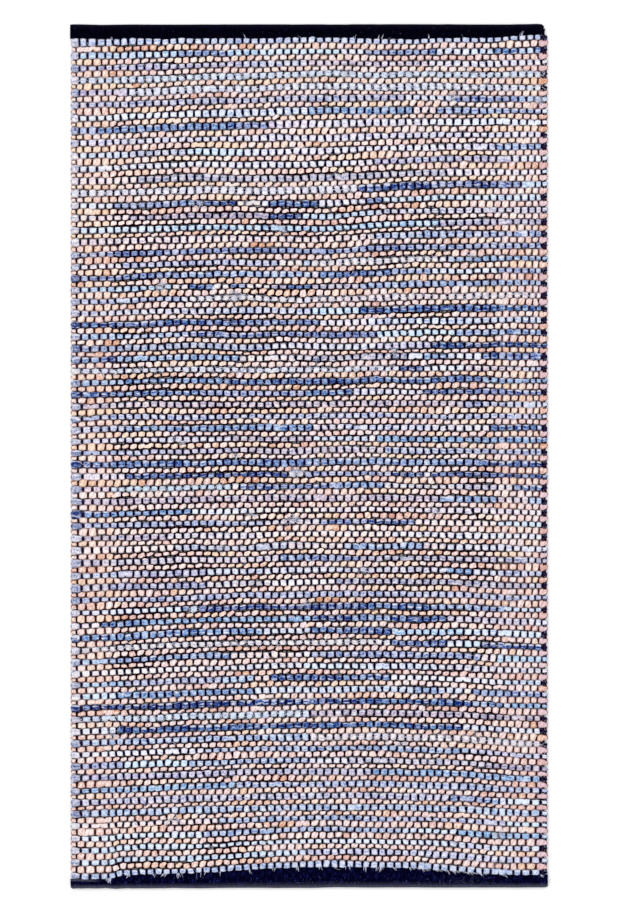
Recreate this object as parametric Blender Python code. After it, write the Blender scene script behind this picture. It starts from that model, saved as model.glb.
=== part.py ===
"""Flat-woven rag rug of denim strips and jute yarn on a dark cotton warp.

Three pieces: the woven ground, raised in one rib for each weft pick, and a cloth tape
folded over each of its two cut ends. The rug lies flat on z = 0 with its width along X
and its length along Y. The origin is the middle of its underside, in metres.
"""

import math

import bmesh
import bpy
import numpy as np

# Driving sizes of the rug
RUG_WIDTH = 0.500
RUG_LENGTH = 0.904
CREST_HEIGHT = 0.0080
VALLEY_HEIGHT = 0.0062

# The weft: denim and jute picks in turn, beaten a little unevenly
PICKS = 139
LEFT_SECOND_PICK = 0.4248
LEFT_LAST_BUT_ONE_PICK = -0.4324
OUTER_PICK_STEP = 0.0072
OUTER_PICK_HALF = 0.0039
CREST_SHARE = 0.30

# How far each named pick drifts from an even spacing, in millimetres towards the top end:
# its left end, and then how much further ahead it is at a quarter, the middle and
# three quarters of the width and at its right end
WEFT_BOW = (
    # pick, left, quarter, middle, three_quarters, right
    (2, 0.0, 2.5, 4.2, 3.6, 7.0),
    (4, -0.7, 3.5, 6.4, 5.6, 7.0),
    (12, -2.6, 5.6, 9.0, 10.0, 7.4),
    (20, -4.2, 4.6, 4.6, 9.2, 10.7),
    (28, -5.6, 2.6, 2.6, 7.4, 10.2),
    (36, -6.8, 4.0, 4.7, 9.0, 9.8),
    (44, -5.2, 3.6, 2.7, 5.8, 6.0),
    (53, -3.0, 2.4, 1.4, 4.0, 3.4),
    (62, -1.5, 2.2, 2.6, 3.4, 2.2),
    (70, 0.5, 1.8, 3.2, 2.8, 1.5),
    (78, -0.1, 1.8, 3.7, 3.4, 1.6),
    (86, -1.8, 3.4, 5.4, 6.0, 2.4),
    (94, -3.4, 4.7, 7.8, 7.2, 3.9),
    (102, -5.2, 6.6, 9.6, 8.0, 3.9),
    (111, -2.8, 4.8, 8.2, 8.0, 2.0),
    (120, -0.5, 4.8, 7.6, 5.8, -1.4),
    (128, 0.6, 4.0, 7.4, 5.8, 0.3),
    (138, 0.0, 5.8, 12.8, 11.6, 4.5),
)
WIDTH_STATIONS = np.array((-0.5, -0.25, 0.0, 0.25, 0.5)) * RUG_WIDTH
GROUND_COLUMNS = 8
FLAT_ANGLE = math.radians(0.05)

# The tape that is folded over each cut end, and the thin tongue of ground inside it
TAPE_THICKNESS = 0.0010
TAPE_TOP = 0.0068
PIECE_GAP = 0.0003
EDGE_GAP = 0.0004
TAPE_COLUMNS = 12
FOLD_STEPS = 6
TONGUE_LOW = TAPE_THICKNESS + PIECE_GAP
TONGUE_HIGH = TAPE_TOP - TAPE_THICKNESS - PIECE_GAP
TONGUE_HALF_WIDTH = 0.2445
TOP_TAPE_LEFT = -0.2500
TOP_TAPE_RIGHT = 0.2458
FOOT_TAPE_LEFT = -0.2495
FOOT_TAPE_RIGHT = 0.2500
CORNER_RUN = 0.0035
CORNER_PULL = 0.0022

DENIM_AND_JUTE = (0.46, 0.42, 0.45, 1.0)
TAPE_BLACK = (0.006, 0.005, 0.014, 1.0)


def clear_scene():
    """Remove every object that the new file starts with."""
    for old in list(bpy.data.objects):
        bpy.data.objects.remove(old, do_unlink=True)


def collection_for(name):
    """A collection for the rug's pieces, linked to the scene."""
    holder = bpy.data.collections.new(name)
    bpy.context.scene.collection.children.link(holder)
    return holder


def cloth_material(name, color, roughness):
    """A matt Principled material."""
    material = bpy.data.materials.new(name)
    material.use_nodes = True
    shader = material.node_tree.nodes["Principled BSDF"]
    shader.inputs["Base Color"].default_value = color
    shader.inputs["Roughness"].default_value = roughness
    shader.inputs["Metallic"].default_value = 0.0
    material.diffuse_color = color
    return material


def place(name, shape, material, holder):
    """Turn a bmesh into a named object with its material."""
    mesh = bpy.data.meshes.new(name)
    shape.to_mesh(mesh)
    shape.free()
    mesh.materials.append(material)
    piece = bpy.data.objects.new(name, mesh)
    holder.objects.link(piece)
    return piece


def curve_through(stations, values, x):
    """The smooth curve that passes through the values at their stations, read at x."""
    slopes = np.gradient(values, stations)
    left = np.clip(np.searchsorted(stations, x) - 1, 0, len(stations) - 2)
    span = stations[left + 1] - stations[left]
    t = (x - stations[left]) / span
    start = (1 + 2 * t) * (1 - t) ** 2 * values[left] + t * (1 - t) ** 2 * span * slopes[left]
    end = t * t * (3 - 2 * t) * values[left + 1] + t * t * (t - 1) * span * slopes[left + 1]
    return start + end


def bow(pick, x):
    """How far a pick stands ahead of an even spacing at x, in metres."""
    table = np.array(WEFT_BOW)
    left, *rises = [np.interp(pick, table[:, 0], table[:, column]) for column in range(1, 6)]
    ahead = np.array([left] + [left + rise for rise in rises])
    return curve_through(WIDTH_STATIONS, ahead, x) / 1000


def pick_y(pick, x):
    """The middle of a pick, numbered from 1 at the top end, at x."""
    inner = min(max(pick, 2), PICKS - 1)
    share = (inner - 2) / (PICKS - 3)
    left = LEFT_SECOND_PICK + (LEFT_LAST_BUT_ONE_PICK - LEFT_SECOND_PICK) * share
    return left + bow(inner, x) - OUTER_PICK_STEP * (pick - inner)


def ground_rows():
    """The rows of the ground's face from the top end to the foot.

    Each row is its place at x as a function, its height above the floor, the height of
    the underside below it and whether it belongs to a thin tongue.
    """
    tongue_end = RUG_LENGTH / 2 - TAPE_TOP / 2 - PIECE_GAP
    rows = [
        (lambda x: tongue_end, TONGUE_HIGH, TONGUE_LOW, True),
        (lambda x: pick_y(1, x) + OUTER_PICK_HALF, TONGUE_HIGH, TONGUE_LOW, False),
    ]
    for pick in range(1, PICKS + 1):
        for side in (-1, 1):
            rows.append((crest_place(pick, side), CREST_HEIGHT, 0.0, False))
        if pick < PICKS:
            rows.append((valley_place(pick), VALLEY_HEIGHT, 0.0, False))
    rows.append((lambda x: pick_y(PICKS, x) - OUTER_PICK_HALF, TONGUE_HIGH, TONGUE_LOW, False))
    rows.append((lambda x: -tongue_end, TONGUE_HIGH, TONGUE_LOW, True))
    return rows


def crest_place(pick, side):
    """The near (-1) or far (1) shoulder of one rib, as a function of x."""
    def at(x):
        half_step = abs(pick_y(pick, x) - valley_y(pick - (side < 0), x))
        return pick_y(pick, x) - side * half_step * 2 * CREST_SHARE
    return at


def valley_y(pick, x):
    """The line between a pick and the next, or the outer side of the first and last."""
    if pick == 0:
        return pick_y(1, x) + OUTER_PICK_HALF
    if pick == PICKS:
        return pick_y(PICKS, x) - OUTER_PICK_HALF
    return (pick_y(pick, x) + pick_y(pick + 1, x)) / 2


def valley_place(pick):
    """The valley after one rib, as a function of x."""
    return lambda x: valley_y(pick, x)


def woven_ground(material, holder):
    """One closed sheet: ribbed above, flat below, with a thin tongue at each cut end."""
    rows = ground_rows()
    shape = bmesh.new()
    bmesh.ops.create_grid(shape, x_segments=GROUND_COLUMNS, y_segments=len(rows) - 1, size=0.5)
    row_of = shape.verts.layers.int.new("row")
    for vertex in shape.verts:
        vertex[row_of] = round((0.5 - vertex.co.y) * (len(rows) - 1))
        place_at, height, _, is_tongue = rows[vertex[row_of]]
        half_width = TONGUE_HALF_WIDTH if is_tongue else RUG_WIDTH / 2
        x = vertex.co.x * 2 * half_width
        vertex.co = (x, place_at(x), height)
    face = shape.verts[:] + shape.edges[:] + shape.faces[:]
    copied = bmesh.ops.duplicate(shape, geom=face)["geom"]
    underside = [part for part in copied if isinstance(part, bmesh.types.BMVert)]
    for vertex in underside:
        vertex.co.z = rows[vertex[row_of]][2]
    rims = [edge for edge in shape.edges if edge.is_boundary]
    bmesh.ops.bridge_loops(shape, edges=rims)
    bmesh.ops.recalc_face_normals(shape, faces=shape.faces)
    flat = {edge for vertex in underside for edge in vertex.link_edges}
    bmesh.ops.dissolve_limit(shape, angle_limit=FLAT_ANGLE, verts=underside, edges=list(flat))
    return place("woven_ground", shape, material, holder)


def tape_section(inner_edge, outer_edge, end):
    """The folded tape's cross-section as (y, z) points, for the end at +Y (1) or -Y (-1)."""
    middle = TAPE_TOP / 2
    points = []
    for radius, turn in ((middle, 1), (middle - TAPE_THICKNESS, -1)):
        centre = outer_edge - end * middle
        arc = [math.pi * (0.5 - turn * step / FOLD_STEPS) for step in range(FOLD_STEPS + 1)]
        if turn < 0:
            arc = [angle - math.pi for angle in arc]
        layer = [(centre + end * radius * math.cos(a), middle + radius * math.sin(a)) for a in arc]
        first = (inner_edge, layer[0][1])
        last = (inner_edge, layer[-1][1])
        points += [first] + layer + [last]
    return points


def tape_columns(left, right):
    """Even places across the tape, with one more near each rounded corner."""
    inner = np.linspace(left + CORNER_RUN, right - CORNER_RUN, TAPE_COLUMNS + 1)
    return [left] + list(inner) + [right]


def end_binding(name, end, left, right, material, holder):
    """A tape folded over one cut end: its inner edge follows the outermost pick."""
    pick = 1 if end > 0 else PICKS
    shape = bmesh.new()
    loops = []
    for x in tape_columns(left, right):
        inner_edge = pick_y(pick, x) + end * (OUTER_PICK_HALF + EDGE_GAP)
        pulled = CORNER_PULL if x in (left, right) else 0.0
        outer_edge = end * (RUG_LENGTH / 2 - pulled)
        loops.append([shape.verts.new((x, y, z)) for y, z in tape_section(inner_edge, outer_edge, end)])
    for near, far in zip(loops, loops[1:]):
        for corner in range(len(near)):
            after = (corner + 1) % len(near)
            shape.faces.new((near[corner], near[after], far[after], far[corner]))
    shape.faces.new(loops[0])
    shape.faces.new(loops[-1])
    bmesh.ops.recalc_face_normals(shape, faces=shape.faces)
    return place(name, shape, material, holder)


clear_scene()
rug = collection_for("denim_and_jute_rag_rug")
ground_cloth = cloth_material("denim_and_jute", DENIM_AND_JUTE, 0.9)
tape_cloth = cloth_material("black_cloth_tape", TAPE_BLACK, 0.8)
woven_ground(ground_cloth, rug)
end_binding("end_binding_top", 1, TOP_TAPE_LEFT, TOP_TAPE_RIGHT, tape_cloth, rug)
end_binding("end_binding_foot", -1, FOOT_TAPE_LEFT, FOOT_TAPE_RIGHT, tape_cloth, rug)
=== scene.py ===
import math

import bpy
import numpy as np
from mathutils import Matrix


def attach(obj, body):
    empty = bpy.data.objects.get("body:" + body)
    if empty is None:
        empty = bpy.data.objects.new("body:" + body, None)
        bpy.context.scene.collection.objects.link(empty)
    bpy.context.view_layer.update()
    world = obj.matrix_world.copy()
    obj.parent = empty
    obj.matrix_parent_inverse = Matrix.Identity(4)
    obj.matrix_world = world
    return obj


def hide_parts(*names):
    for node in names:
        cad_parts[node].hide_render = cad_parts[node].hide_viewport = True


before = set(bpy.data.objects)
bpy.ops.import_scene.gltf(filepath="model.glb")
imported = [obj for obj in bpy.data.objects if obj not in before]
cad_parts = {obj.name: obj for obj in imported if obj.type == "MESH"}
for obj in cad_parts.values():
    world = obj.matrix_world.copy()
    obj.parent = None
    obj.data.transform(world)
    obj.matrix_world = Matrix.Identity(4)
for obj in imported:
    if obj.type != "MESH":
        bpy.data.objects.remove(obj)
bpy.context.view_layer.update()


# Cotton warp
# 116 dark two-ply cotton ends stretched along the rug, with one more beside the last at the right
# edge. Each end passes over one pick and under the next, and is cut off inside the folded tape.
PICKS = 139
ENDS = 116
HALF_WIDTH = 0.250
HALF_LENGTH = 0.452
LEFT_SECOND_PICK = 0.4248
LEFT_LAST_BUT_ONE_PICK = -0.4324
EDGE_END_STEP = 0.0045
OUTER_WARP_ASIDE = 0.0024
WARP_OVER, WARP_UNDER = 0.00645, 0.00155
WARP_HALF_WIDTH, WARP_HALF_HEIGHT = 0.00076, 0.00080
WARP_CUT_INSET, WARP_CUT_Z = 0.0045, 0.0034
WARP_BESIDE_ROW, WARP_BESIDE_Z = 0.0015, 0.0036
WARP_UNEVEN, OUTER_WARP_UNEVEN = 0.17, 0.42
THINNEST_WARP, THICKEST_WARP = 0.35, 1.6
OUTER_WARP_SWAY = 0.0003
OUTER_WARP_DUST = 1.4
LIGHT_GAIN = 1.13

# How far each named pick drifts from an even spacing, in millimetres towards the top end:
# its left end, and then how much further ahead it is across the width
WEFT_BOW = (
    # pick, left, quarter, middle, three_quarters, right
    (2, 0.0, 2.5, 4.2, 3.6, 7.0),
    (4, -0.7, 3.5, 6.4, 5.6, 7.0),
    (12, -2.6, 5.6, 9.0, 10.0, 7.4),
    (20, -4.2, 4.6, 4.6, 9.2, 10.7),
    (28, -5.6, 2.6, 2.6, 7.4, 10.2),
    (36, -6.8, 4.0, 4.7, 9.0, 9.8),
    (44, -5.2, 3.6, 2.7, 5.8, 6.0),
    (53, -3.0, 2.4, 1.4, 4.0, 3.4),
    (62, -1.5, 2.2, 2.6, 3.4, 2.2),
    (70, 0.5, 1.8, 3.2, 2.8, 1.5),
    (78, -0.1, 1.8, 3.7, 3.4, 1.6),
    (86, -1.8, 3.4, 5.4, 6.0, 2.4),
    (94, -3.4, 4.7, 7.8, 7.2, 3.9),
    (102, -5.2, 6.6, 9.6, 8.0, 3.9),
    (111, -2.8, 4.8, 8.2, 8.0, 2.0),
    (120, -0.5, 4.8, 7.6, 5.8, -1.4),
    (128, 0.6, 4.0, 7.4, 5.8, 0.3),
    (138, 0.0, 5.8, 12.8, 11.6, 4.5),
)
# At the same five places, how far the first and the last pick lie beyond their neighbours, and
# how far out from their middle the tapes start
OUTER_STEPS = {
    1: (0.0080, 0.0066, 0.0058, 0.0056, 0.0063),
    PICKS: (0.0071, 0.0074, 0.0074, 0.0079, 0.0064)}
OUTER_HALVES = {
    1: (0.0043, 0.0032, 0.0032, 0.0028, 0.0031),
    PICKS: (0.0041, 0.0028, 0.0033, 0.0033, 0.0028)}

# The warp is not stretched evenly either: at each named pick, where these ends stand, in
# millimetres from the middle of the rug
PLACED_ENDS = (0, 2, 5, 12, 18, 36, 60, 84, 92, 98, 106, 112, 114, 115)
END_PLACES = (
    (10, -243.6, -236.3, -221.8, -193.3, -167.5, -90.9, 11.5,
     112.7, 145.9, 173.4, 206.0, 231.4, 239.3, 243.0),
    (28, -243.6, -235.9, -221.5, -192.0, -166.2, -88.7, 13.7,
     115.2, 148.8, 176.8, 209.7, 233.9, 240.7, 244.0),
    (62, -242.5, -233.1, -218.2, -188.2, -162.1, -84.7, 17.0,
     116.1, 149.2, 176.6, 210.8, 234.8, 241.0, 243.9),
    (80, -241.2, -231.0, -216.8, -187.9, -162.0, -85.3, 15.9,
     115.4, 148.4, 176.0, 209.0, 233.5, 240.5, 244.0),
    (97, -243.6, -233.9, -218.3, -188.9, -163.3, -86.3, 15.3,
     114.9, 148.2, 175.9, 208.9, 232.9, 240.2, 243.9),
    (113, -242.8, -232.6, -218.4, -189.2, -163.7, -87.6, 13.8,
     114.0, 147.1, 174.6, 207.5, 231.6, 239.0, 243.1),
    (129, -242.9, -234.0, -218.4, -190.5, -165.6, -90.2, 10.1,
     109.8, 142.0, 169.8, 202.4, 226.7, 237.2, 241.9),
)


def curve_through(stations, values, x):
    """The smooth curve that passes through the values at their stations, read at x."""
    slopes = np.gradient(values, stations)
    left = np.clip(np.searchsorted(stations, x) - 1, 0, len(stations) - 2)
    span = stations[left + 1] - stations[left]
    t = (x - stations[left]) / span
    start = (1 + 2 * t) * (1 - t) ** 2 * values[left] + t * (1 - t) ** 2 * span * slopes[left]
    end = t * t * (3 - 2 * t) * values[left + 1] + t * t * (t - 1) * span * slopes[left + 1]
    return start + end


bow_table = np.array(WEFT_BOW)
bow_places = np.linspace(-HALF_WIDTH, HALF_WIDTH, 5)


def pick_y(pick, x):
    """The drawn middle of a pick, numbered from 1 at the top end, at x."""
    inner = min(max(pick, 2), PICKS - 1)
    left, *rises = [np.interp(inner, bow_table[:, 0], column) for column in bow_table.T[1:]]
    ahead = np.array([left] + [left + rise for rise in rises])
    even = np.interp(inner, (2, PICKS - 1), (LEFT_SECOND_PICK, LEFT_LAST_BUT_ONE_PICK))
    drawn = even + curve_through(bow_places, ahead, x) / 1000
    if pick != inner:
        drawn -= (pick - inner) * curve_through(bow_places, np.array(OUTER_STEPS[pick]), x)
    return drawn


def drift(rng, places, spacing, size):
    """A smooth seeded wander along rising places, with a new random knot at each spacing."""
    t = (places - places.min()) / spacing
    before = t.astype(int)
    knots = rng.normal(0, size, before.max() + 2)
    blend = (1 - np.cos(math.pi * (t - before))) / 2
    return knots[before] * (1 - blend) + knots[before + 1] * blend


def ease(value, low, high):
    """0 below low and 1 above high, with a smooth rise between."""
    t = np.clip((value - low) / (high - low), 0, 1)
    return t * t * (3 - 2 * t)


def foot_steps(x):
    """How the last picks drop at the foot: in a step near the left edge and a sag near the right."""
    step = ease(x, -0.207, -0.197)
    low = ease(x, -0.246, -0.222) - step
    high = step - ease(x, -0.197, -0.120)
    sag = np.exp(-((x - 0.198) / 0.050) ** 2)
    return 0.0018 * high - 0.0014 * low - 0.0006 * step - 0.0033 * sag


def outer_columns(x):
    """1 in the outer columns at either edge, where the warp is bare and the jute swells, inside 0."""
    return ease(-x, 0.200, 0.209) + ease(x, 0.188, 0.206)


# The room that each pick takes: the lines between the rows, and from them each row's middle and
# half height. Jute swells in the outer columns, where the ends are further apart.
beat = np.random.default_rng(11)
pick_numbers = np.arange(1, PICKS + 1)
HALF_SPAN = HALF_WIDTH + 0.002
places_across = np.linspace(-HALF_SPAN, HALF_SPAN, 127)
wave_places = np.linspace(-HALF_SPAN, HALF_SPAN, 12)
inside_rug = np.clip(places_across, -HALF_WIDTH, HALF_WIDTH)
edge_share = outer_columns(places_across)
denim_swell = 1.04 - 0.07 * edge_share
jute_swell = 0.96 + 0.11 * edge_share
# Beyond the last warp ends the denim spreads at the left and is pinched at the right
outermost = 0.36 * ease(-places_across, 0.2380, 0.2440) - 0.16 * ease(places_across, 0.2405, 0.2440)
WAVE_PICKS, WAVE_SIZE = 7, 0.00058
WANDER_LENGTH, WANDER_SIZE = 0.040, 0.00036
LONG_SWELL, SHORT_SWELL, SWELL_SIZE = 0.08, 0.030, 0.13
THINNEST, FULLEST = 0.62, 1.6
FOOT_STEP_PICKS = 10
waves = np.array([drift(beat, pick_numbers, WAVE_PICKS, WAVE_SIZE) for _ in wave_places]).T
beaten = []
bulk = []
for pick in range(1, PICKS + 1):
    drawn = pick_y(pick, inside_rug)
    drawn += foot_steps(places_across) * ease(pick, PICKS - FOOT_STEP_PICKS, PICKS)
    from_tapes = ease(min(pick - 1, PICKS - pick), 0, WAVE_PICKS)
    drawn += curve_through(wave_places, waves[pick - 1] * from_tapes, places_across)
    beaten.append(drawn + drift(beat, places_across, WANDER_LENGTH, WANDER_SIZE))
    is_denim = pick % 2
    swell = denim_swell * (1 + outermost) if is_denim else jute_swell * (1 - outermost)
    swell *= 1 + beat.normal(0, SWELL_SIZE) + drift(beat, places_across, LONG_SWELL, SWELL_SIZE)
    swell += drift(beat, places_across, SHORT_SWELL, SWELL_SIZE)
    bulk.append(np.clip(swell, THINNEST, FULLEST))
beaten = np.array(beaten)
bulk = np.array(bulk)
share_above = bulk[:-1] / (bulk[:-1] + bulk[1:])
lines_between = beaten[:-1] - (beaten[:-1] - beaten[1:]) * share_above
top_line = beaten[:1] + curve_through(bow_places, np.array(OUTER_HALVES[1]), inside_rug)
foot_line = beaten[-1:] - curve_through(bow_places, np.array(OUTER_HALVES[PICKS]), inside_rug)
row_lines = np.concatenate((top_line, lines_between, foot_line))
row_middles = (row_lines[:-1] + row_lines[1:]) / 2
row_halves = (row_lines[:-1] - row_lines[1:]) / 2


# How open each line between two rows is, which sets how far the painted shade of the gap reaches
# up the strands' sides: 1 where they touch and it closes, 0 for a plain thin dark line and down to
# -2 where the painted shade of a deep gap is widest. The rug is beaten looser in the middle of its
# length and by the foot, and tighter towards the right.
LOOSE_PLACES = (-0.44, -0.40, -0.36, -0.28, -0.22, 0.0, 0.17, 0.30, 0.42)
LOOSE_SHARES = (0.70, 0.60, 0.10, 0.15, 0.95, 1.0, 0.95, 0.45, 0.0)
TIGHTER_PLACES = (-0.20, -0.10, -0.05, -0.02, 0.12, 0.19)
TIGHTER_SHARES = (-0.26, -0.20, 0.0, 0.28, 0.20, 0.30)
DEEPEST, CLOSED = -2.0, 1.2
TIGHT_GAP, LOOSE_GAP = 0.66, -0.12
LEFT_EDGE_GAP, RIGHT_EDGE_GAP = 0.66, 0.90
tighter = np.interp(places_across, TIGHTER_PLACES, TIGHTER_SHARES)
at_edges = np.where(places_across > 0, RIGHT_EDGE_GAP, LEFT_EDGE_GAP)
line_gaps = []
for line in row_lines:
    loose = np.interp(line, LOOSE_PLACES, LOOSE_SHARES)
    wander = drift(beat, places_across, 0.055, 0.70) + beat.normal(0, 0.40)
    inner = TIGHT_GAP - (TIGHT_GAP - LOOSE_GAP) * loose + wander + tighter
    gap = inner * (1 - edge_share) + (at_edges + 0.7 * wander) * edge_share
    line_gaps.append(np.clip(gap, DEEPEST, CLOSED))
# Lines that close where the pale edge of a strip lies over the jute below: the pick above
# the line and where it closes, in millimetres from the left edge
for pick, start, stop in ((75, 62, 151), (77, 192, 271), (67, 98, 271), (19, 350, 425), (45, 20, 90)):
    from_left = (places_across + HALF_WIDTH) * 1000
    line_gaps[pick][(from_left > start) & (from_left < stop)] = CLOSED
line_gaps = np.array(line_gaps)


def row_at(rows, pick, x):
    """One of the row tables read at x for a pick."""
    return np.interp(x, places_across, rows[pick - 1])


# Where every end crosses every pick, from the chart, in one row for each pick
charted = np.array(END_PLACES)
charted_rows = [np.interp(pick_numbers, charted[:, 0], column) for column in charted.T[1:]]
end_numbers = np.arange(ENDS)
end_places = np.array([
    curve_through(np.array(PLACED_ENDS), row / 1000, end_numbers) for row in np.array(charted_rows).T])

# Each end also sways a little by itself, and its neighbours sway with it
SHARED_SWAY, OWN_SWAY, CROSSING_SWAY = 0.00018, 0.00017, 0.00018
sway_places = np.linspace(0, ENDS - 1, 9)
sway_rows = np.array([drift(beat, pick_numbers, 17, SHARED_SWAY) for _ in sway_places]).T
end_sway = np.array([np.interp(end_numbers, sway_places, row) for row in sway_rows])
end_sway += np.array([drift(beat, pick_numbers, 5, OWN_SWAY) for _ in range(ENDS)]).T
end_sway += beat.normal(0, CROSSING_SWAY, end_sway.shape)


def end_x(end, pick):
    """Where an end, or a place between two ends, crosses a pick."""
    inner = np.clip(end, 0, ENDS - 1)
    beyond = (end - inner) * EDGE_END_STEP
    return np.interp(inner, end_numbers, end_places[pick - 1] + end_sway[pick - 1]) + beyond


def add_node(tree, kind, inputs=None, **settings):
    """One node, with its settings, and its inputs as values or as sockets to link from."""
    made = tree.nodes.new(kind)
    for name, value in settings.items():
        setattr(made, name, value)
    for socket, value in (inputs or {}).items():
        if isinstance(value, bpy.types.NodeSocket):
            tree.links.new(value, made.inputs[socket])
        else:
            made.inputs[socket].default_value = value
    return made


def result(tree, kind, inputs=None, **settings):
    """The first output of one new node."""
    return add_node(tree, kind, inputs, **settings).outputs[0]


def calc(tree, operation, *values):
    """The result of one Math node."""
    return result(tree, "ShaderNodeMath", dict(enumerate(values)), operation=operation)


def captured(tree, geometry, **fields):
    """A geometry, with the named values that its points have at this step of the tree."""
    node = tree.nodes.new("GeometryNodeCaptureAttribute")
    tree.links.new(geometry, node.inputs["Geometry"])
    for name, field in fields.items():
        node.capture_items.new("VECTOR" if field.type == "VECTOR" else "FLOAT", name)
        tree.links.new(field, node.inputs[name])
    return node.outputs


def build_strand_tree():
    """Sweeps a squarish, upright section along each line, as wide and high as the line says."""
    tree = bpy.data.node_groups.new("strand_sweep", "GeometryNodeTree")
    for name, kind in (
        ("Geometry", "Geometry"), ("Profile Sides", "Int"), ("Profile Squareness", "Float"),
        ("Longest Strand", "Float"), ("Strand Bands", "Float"), ("Girth", "Float"),
        ("Material", "Material"),
    ):
        tree.interface.new_socket(name, in_out="INPUT", socket_type="NodeSocket" + kind)
    tree.interface.new_socket("Geometry", in_out="OUTPUT", socket_type="NodeSocketGeometry")
    given = add_node(tree, "NodeGroupInput").outputs
    parameter = add_node(tree, "GeometryNodeSplineParameter").outputs
    position = result(tree, "GeometryNodeInputPosition")
    normal = result(tree, "GeometryNodeInputNormal")
    widths, heights, band = [
        result(tree, "GeometryNodeInputNamedAttribute", {"Name": name})
        for name in ("half_width", "half_height", "band")]

    lines = result(tree, "GeometryNodeMeshToCurve", {"Mesh": given["Geometry"]})
    upright = result(tree, "GeometryNodeSetCurveNormal", {"Curve": lines}, mode="Z_UP")
    path = captured(tree, upright, Centre=position, Side=normal, Along=parameter["Length"])

    circle = result(
        tree, "GeometryNodeCurvePrimitiveCircle", {"Resolution": given["Profile Sides"], "Radius": 1.0})
    round_place = add_node(tree, "ShaderNodeSeparateXYZ", {0: position}).outputs
    power = calc(tree, "DIVIDE", 2.0, given["Profile Squareness"])
    squared = {}
    for number, axis in enumerate("XY"):
        size = calc(tree, "POWER", calc(tree, "ABSOLUTE", round_place[axis]), power)
        squared[number] = calc(tree, "MULTIPLY", size, calc(tree, "SIGN", round_place[axis]))
    square_place = result(tree, "ShaderNodeCombineXYZ", squared)
    section = captured(tree, circle, Place=square_place, Around=parameter["Factor"])

    tube = result(tree, "GeometryNodeCurveToMesh", {
        "Curve": path["Geometry"], "Profile Curve": section["Geometry"], "Fill Caps": True})
    place = add_node(tree, "ShaderNodeSeparateXYZ", {0: section["Place"]}).outputs
    sidestep = result(
        tree, "ShaderNodeVectorMath",
        {0: path["Side"], "Scale": calc(tree, "MULTIPLY", place["X"], widths)}, operation="SCALE")
    upwards = result(tree, "ShaderNodeCombineXYZ", {2: calc(tree, "MULTIPLY", place["Y"], heights)})
    offset = result(tree, "ShaderNodeVectorMath", {0: sidestep, 1: upwards})
    spot = result(tree, "ShaderNodeVectorMath", {0: path["Centre"], 1: offset})
    shaped = result(tree, "GeometryNodeSetPosition", {"Geometry": tube, "Position": spot})
    shaped = result(
        tree, "GeometryNodeStoreNamedAttribute",
        {"Geometry": shaped, "Name": "across", "Value": place["X"]}, data_type="FLOAT", domain="POINT")

    # The last face round a section ends at 1 on the map, where its points say 0
    around = section["Around"]
    face_mean = result(tree, "GeometryNodeFieldOnDomain", {0: around}, domain="FACE")
    at_seam = calc(
        tree, "MULTIPLY", calc(tree, "LESS_THAN", around, 0.01),
        calc(tree, "GREATER_THAN", face_mean, 0.3))
    closed = calc(tree, "ADD", around, at_seam)
    in_band = calc(tree, "ADD", band, calc(tree, "MULTIPLY_ADD", closed, 0.92, 0.04))
    bake_u = calc(tree, "DIVIDE", path["Along"], given["Longest Strand"])
    bake_v = calc(tree, "DIVIDE", in_band, given["Strand Bands"])
    strand_v = calc(tree, "MULTIPLY", calc(tree, "ADD", band, closed), given["Girth"])
    for name, u, v in (("OFBake", bake_u, bake_v), ("strand_map", path["Along"], strand_v)):
        value = result(tree, "ShaderNodeCombineXYZ", {0: u, 1: v})
        shaped = result(
            tree, "GeometryNodeStoreNamedAttribute", {"Geometry": shaped, "Name": name, "Value": value},
            data_type="FLOAT2", domain="CORNER")
    smooth = result(tree, "GeometryNodeSetShadeSmooth", {"Geometry": shaped})
    real = result(tree, "GeometryNodeRealizeInstances", {"Geometry": smooth})
    painted = result(tree, "GeometryNodeSetMaterial", {"Geometry": real, "Material": given["Material"]})
    add_node(tree, "NodeGroupOutput", {"Geometry": painted})
    return tree


strand_tree = build_strand_tree()


def made_plain(piece, tree, inputs):
    """Runs a node tree on a piece and keeps the result as its plain mesh."""
    modifier = piece.modifiers.new(tree.name, "NODES")
    modifier.node_group = tree
    for item in tree.interface.items_tree:
        if item.item_type == "SOCKET" and item.in_out == "INPUT" and item.name in inputs:
            modifier[item.identifier] = inputs[item.name]
    bpy.context.view_layer.update()
    depsgraph = bpy.context.evaluated_depsgraph_get()
    mesh = bpy.data.meshes.new_from_object(
        piece.evaluated_get(depsgraph), preserve_all_data_layers=True, depsgraph=depsgraph)
    piece.modifiers.clear()
    old = piece.data
    piece.data = mesh
    bpy.data.meshes.remove(old)
    mesh.name = piece.name
    return piece


def strand_piece(name, strands, material, sides, squareness, girth):
    """One piece of swept strands. A strand is a dict of places and of values at each place.

    Its band is its row on the baked map. Strands that name no band get one each.
    """
    if "band" not in strands[0]:
        strands = [{**strand, "band": number} for number, strand in enumerate(strands)]
    counts = [len(strand["places"]) for strand in strands]
    stops = np.cumsum(counts)
    edges = [(i, i + 1) for count, stop in zip(counts, stops) for i in range(stop - count, stop - 1)]
    mesh = bpy.data.meshes.new(name)
    mesh.from_pydata(np.concatenate([strand["places"] for strand in strands]).tolist(), edges, [])
    for value in strands[0]:
        if value != "places":
            read = [np.broadcast_to(s[value], count) for s, count in zip(strands, counts)]
            attribute = mesh.attributes.new(value, "FLOAT", "POINT")
            attribute.data.foreach_set("value", np.concatenate(read).astype(np.float32))
    piece = bpy.data.objects.new(name, mesh)
    bpy.context.scene.collection.objects.link(piece)
    longest = max(np.linalg.norm(np.diff(s["places"], axis=0), axis=1).sum() for s in strands)
    return made_plain(piece, strand_tree, {
        "Profile Sides": sides, "Profile Squareness": squareness,
        "Longest Strand": float(longest) * 1.001,
        "Strand Bands": float(1 + max(strand["band"] for strand in strands)),
        "Girth": girth, "Material": material})


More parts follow.
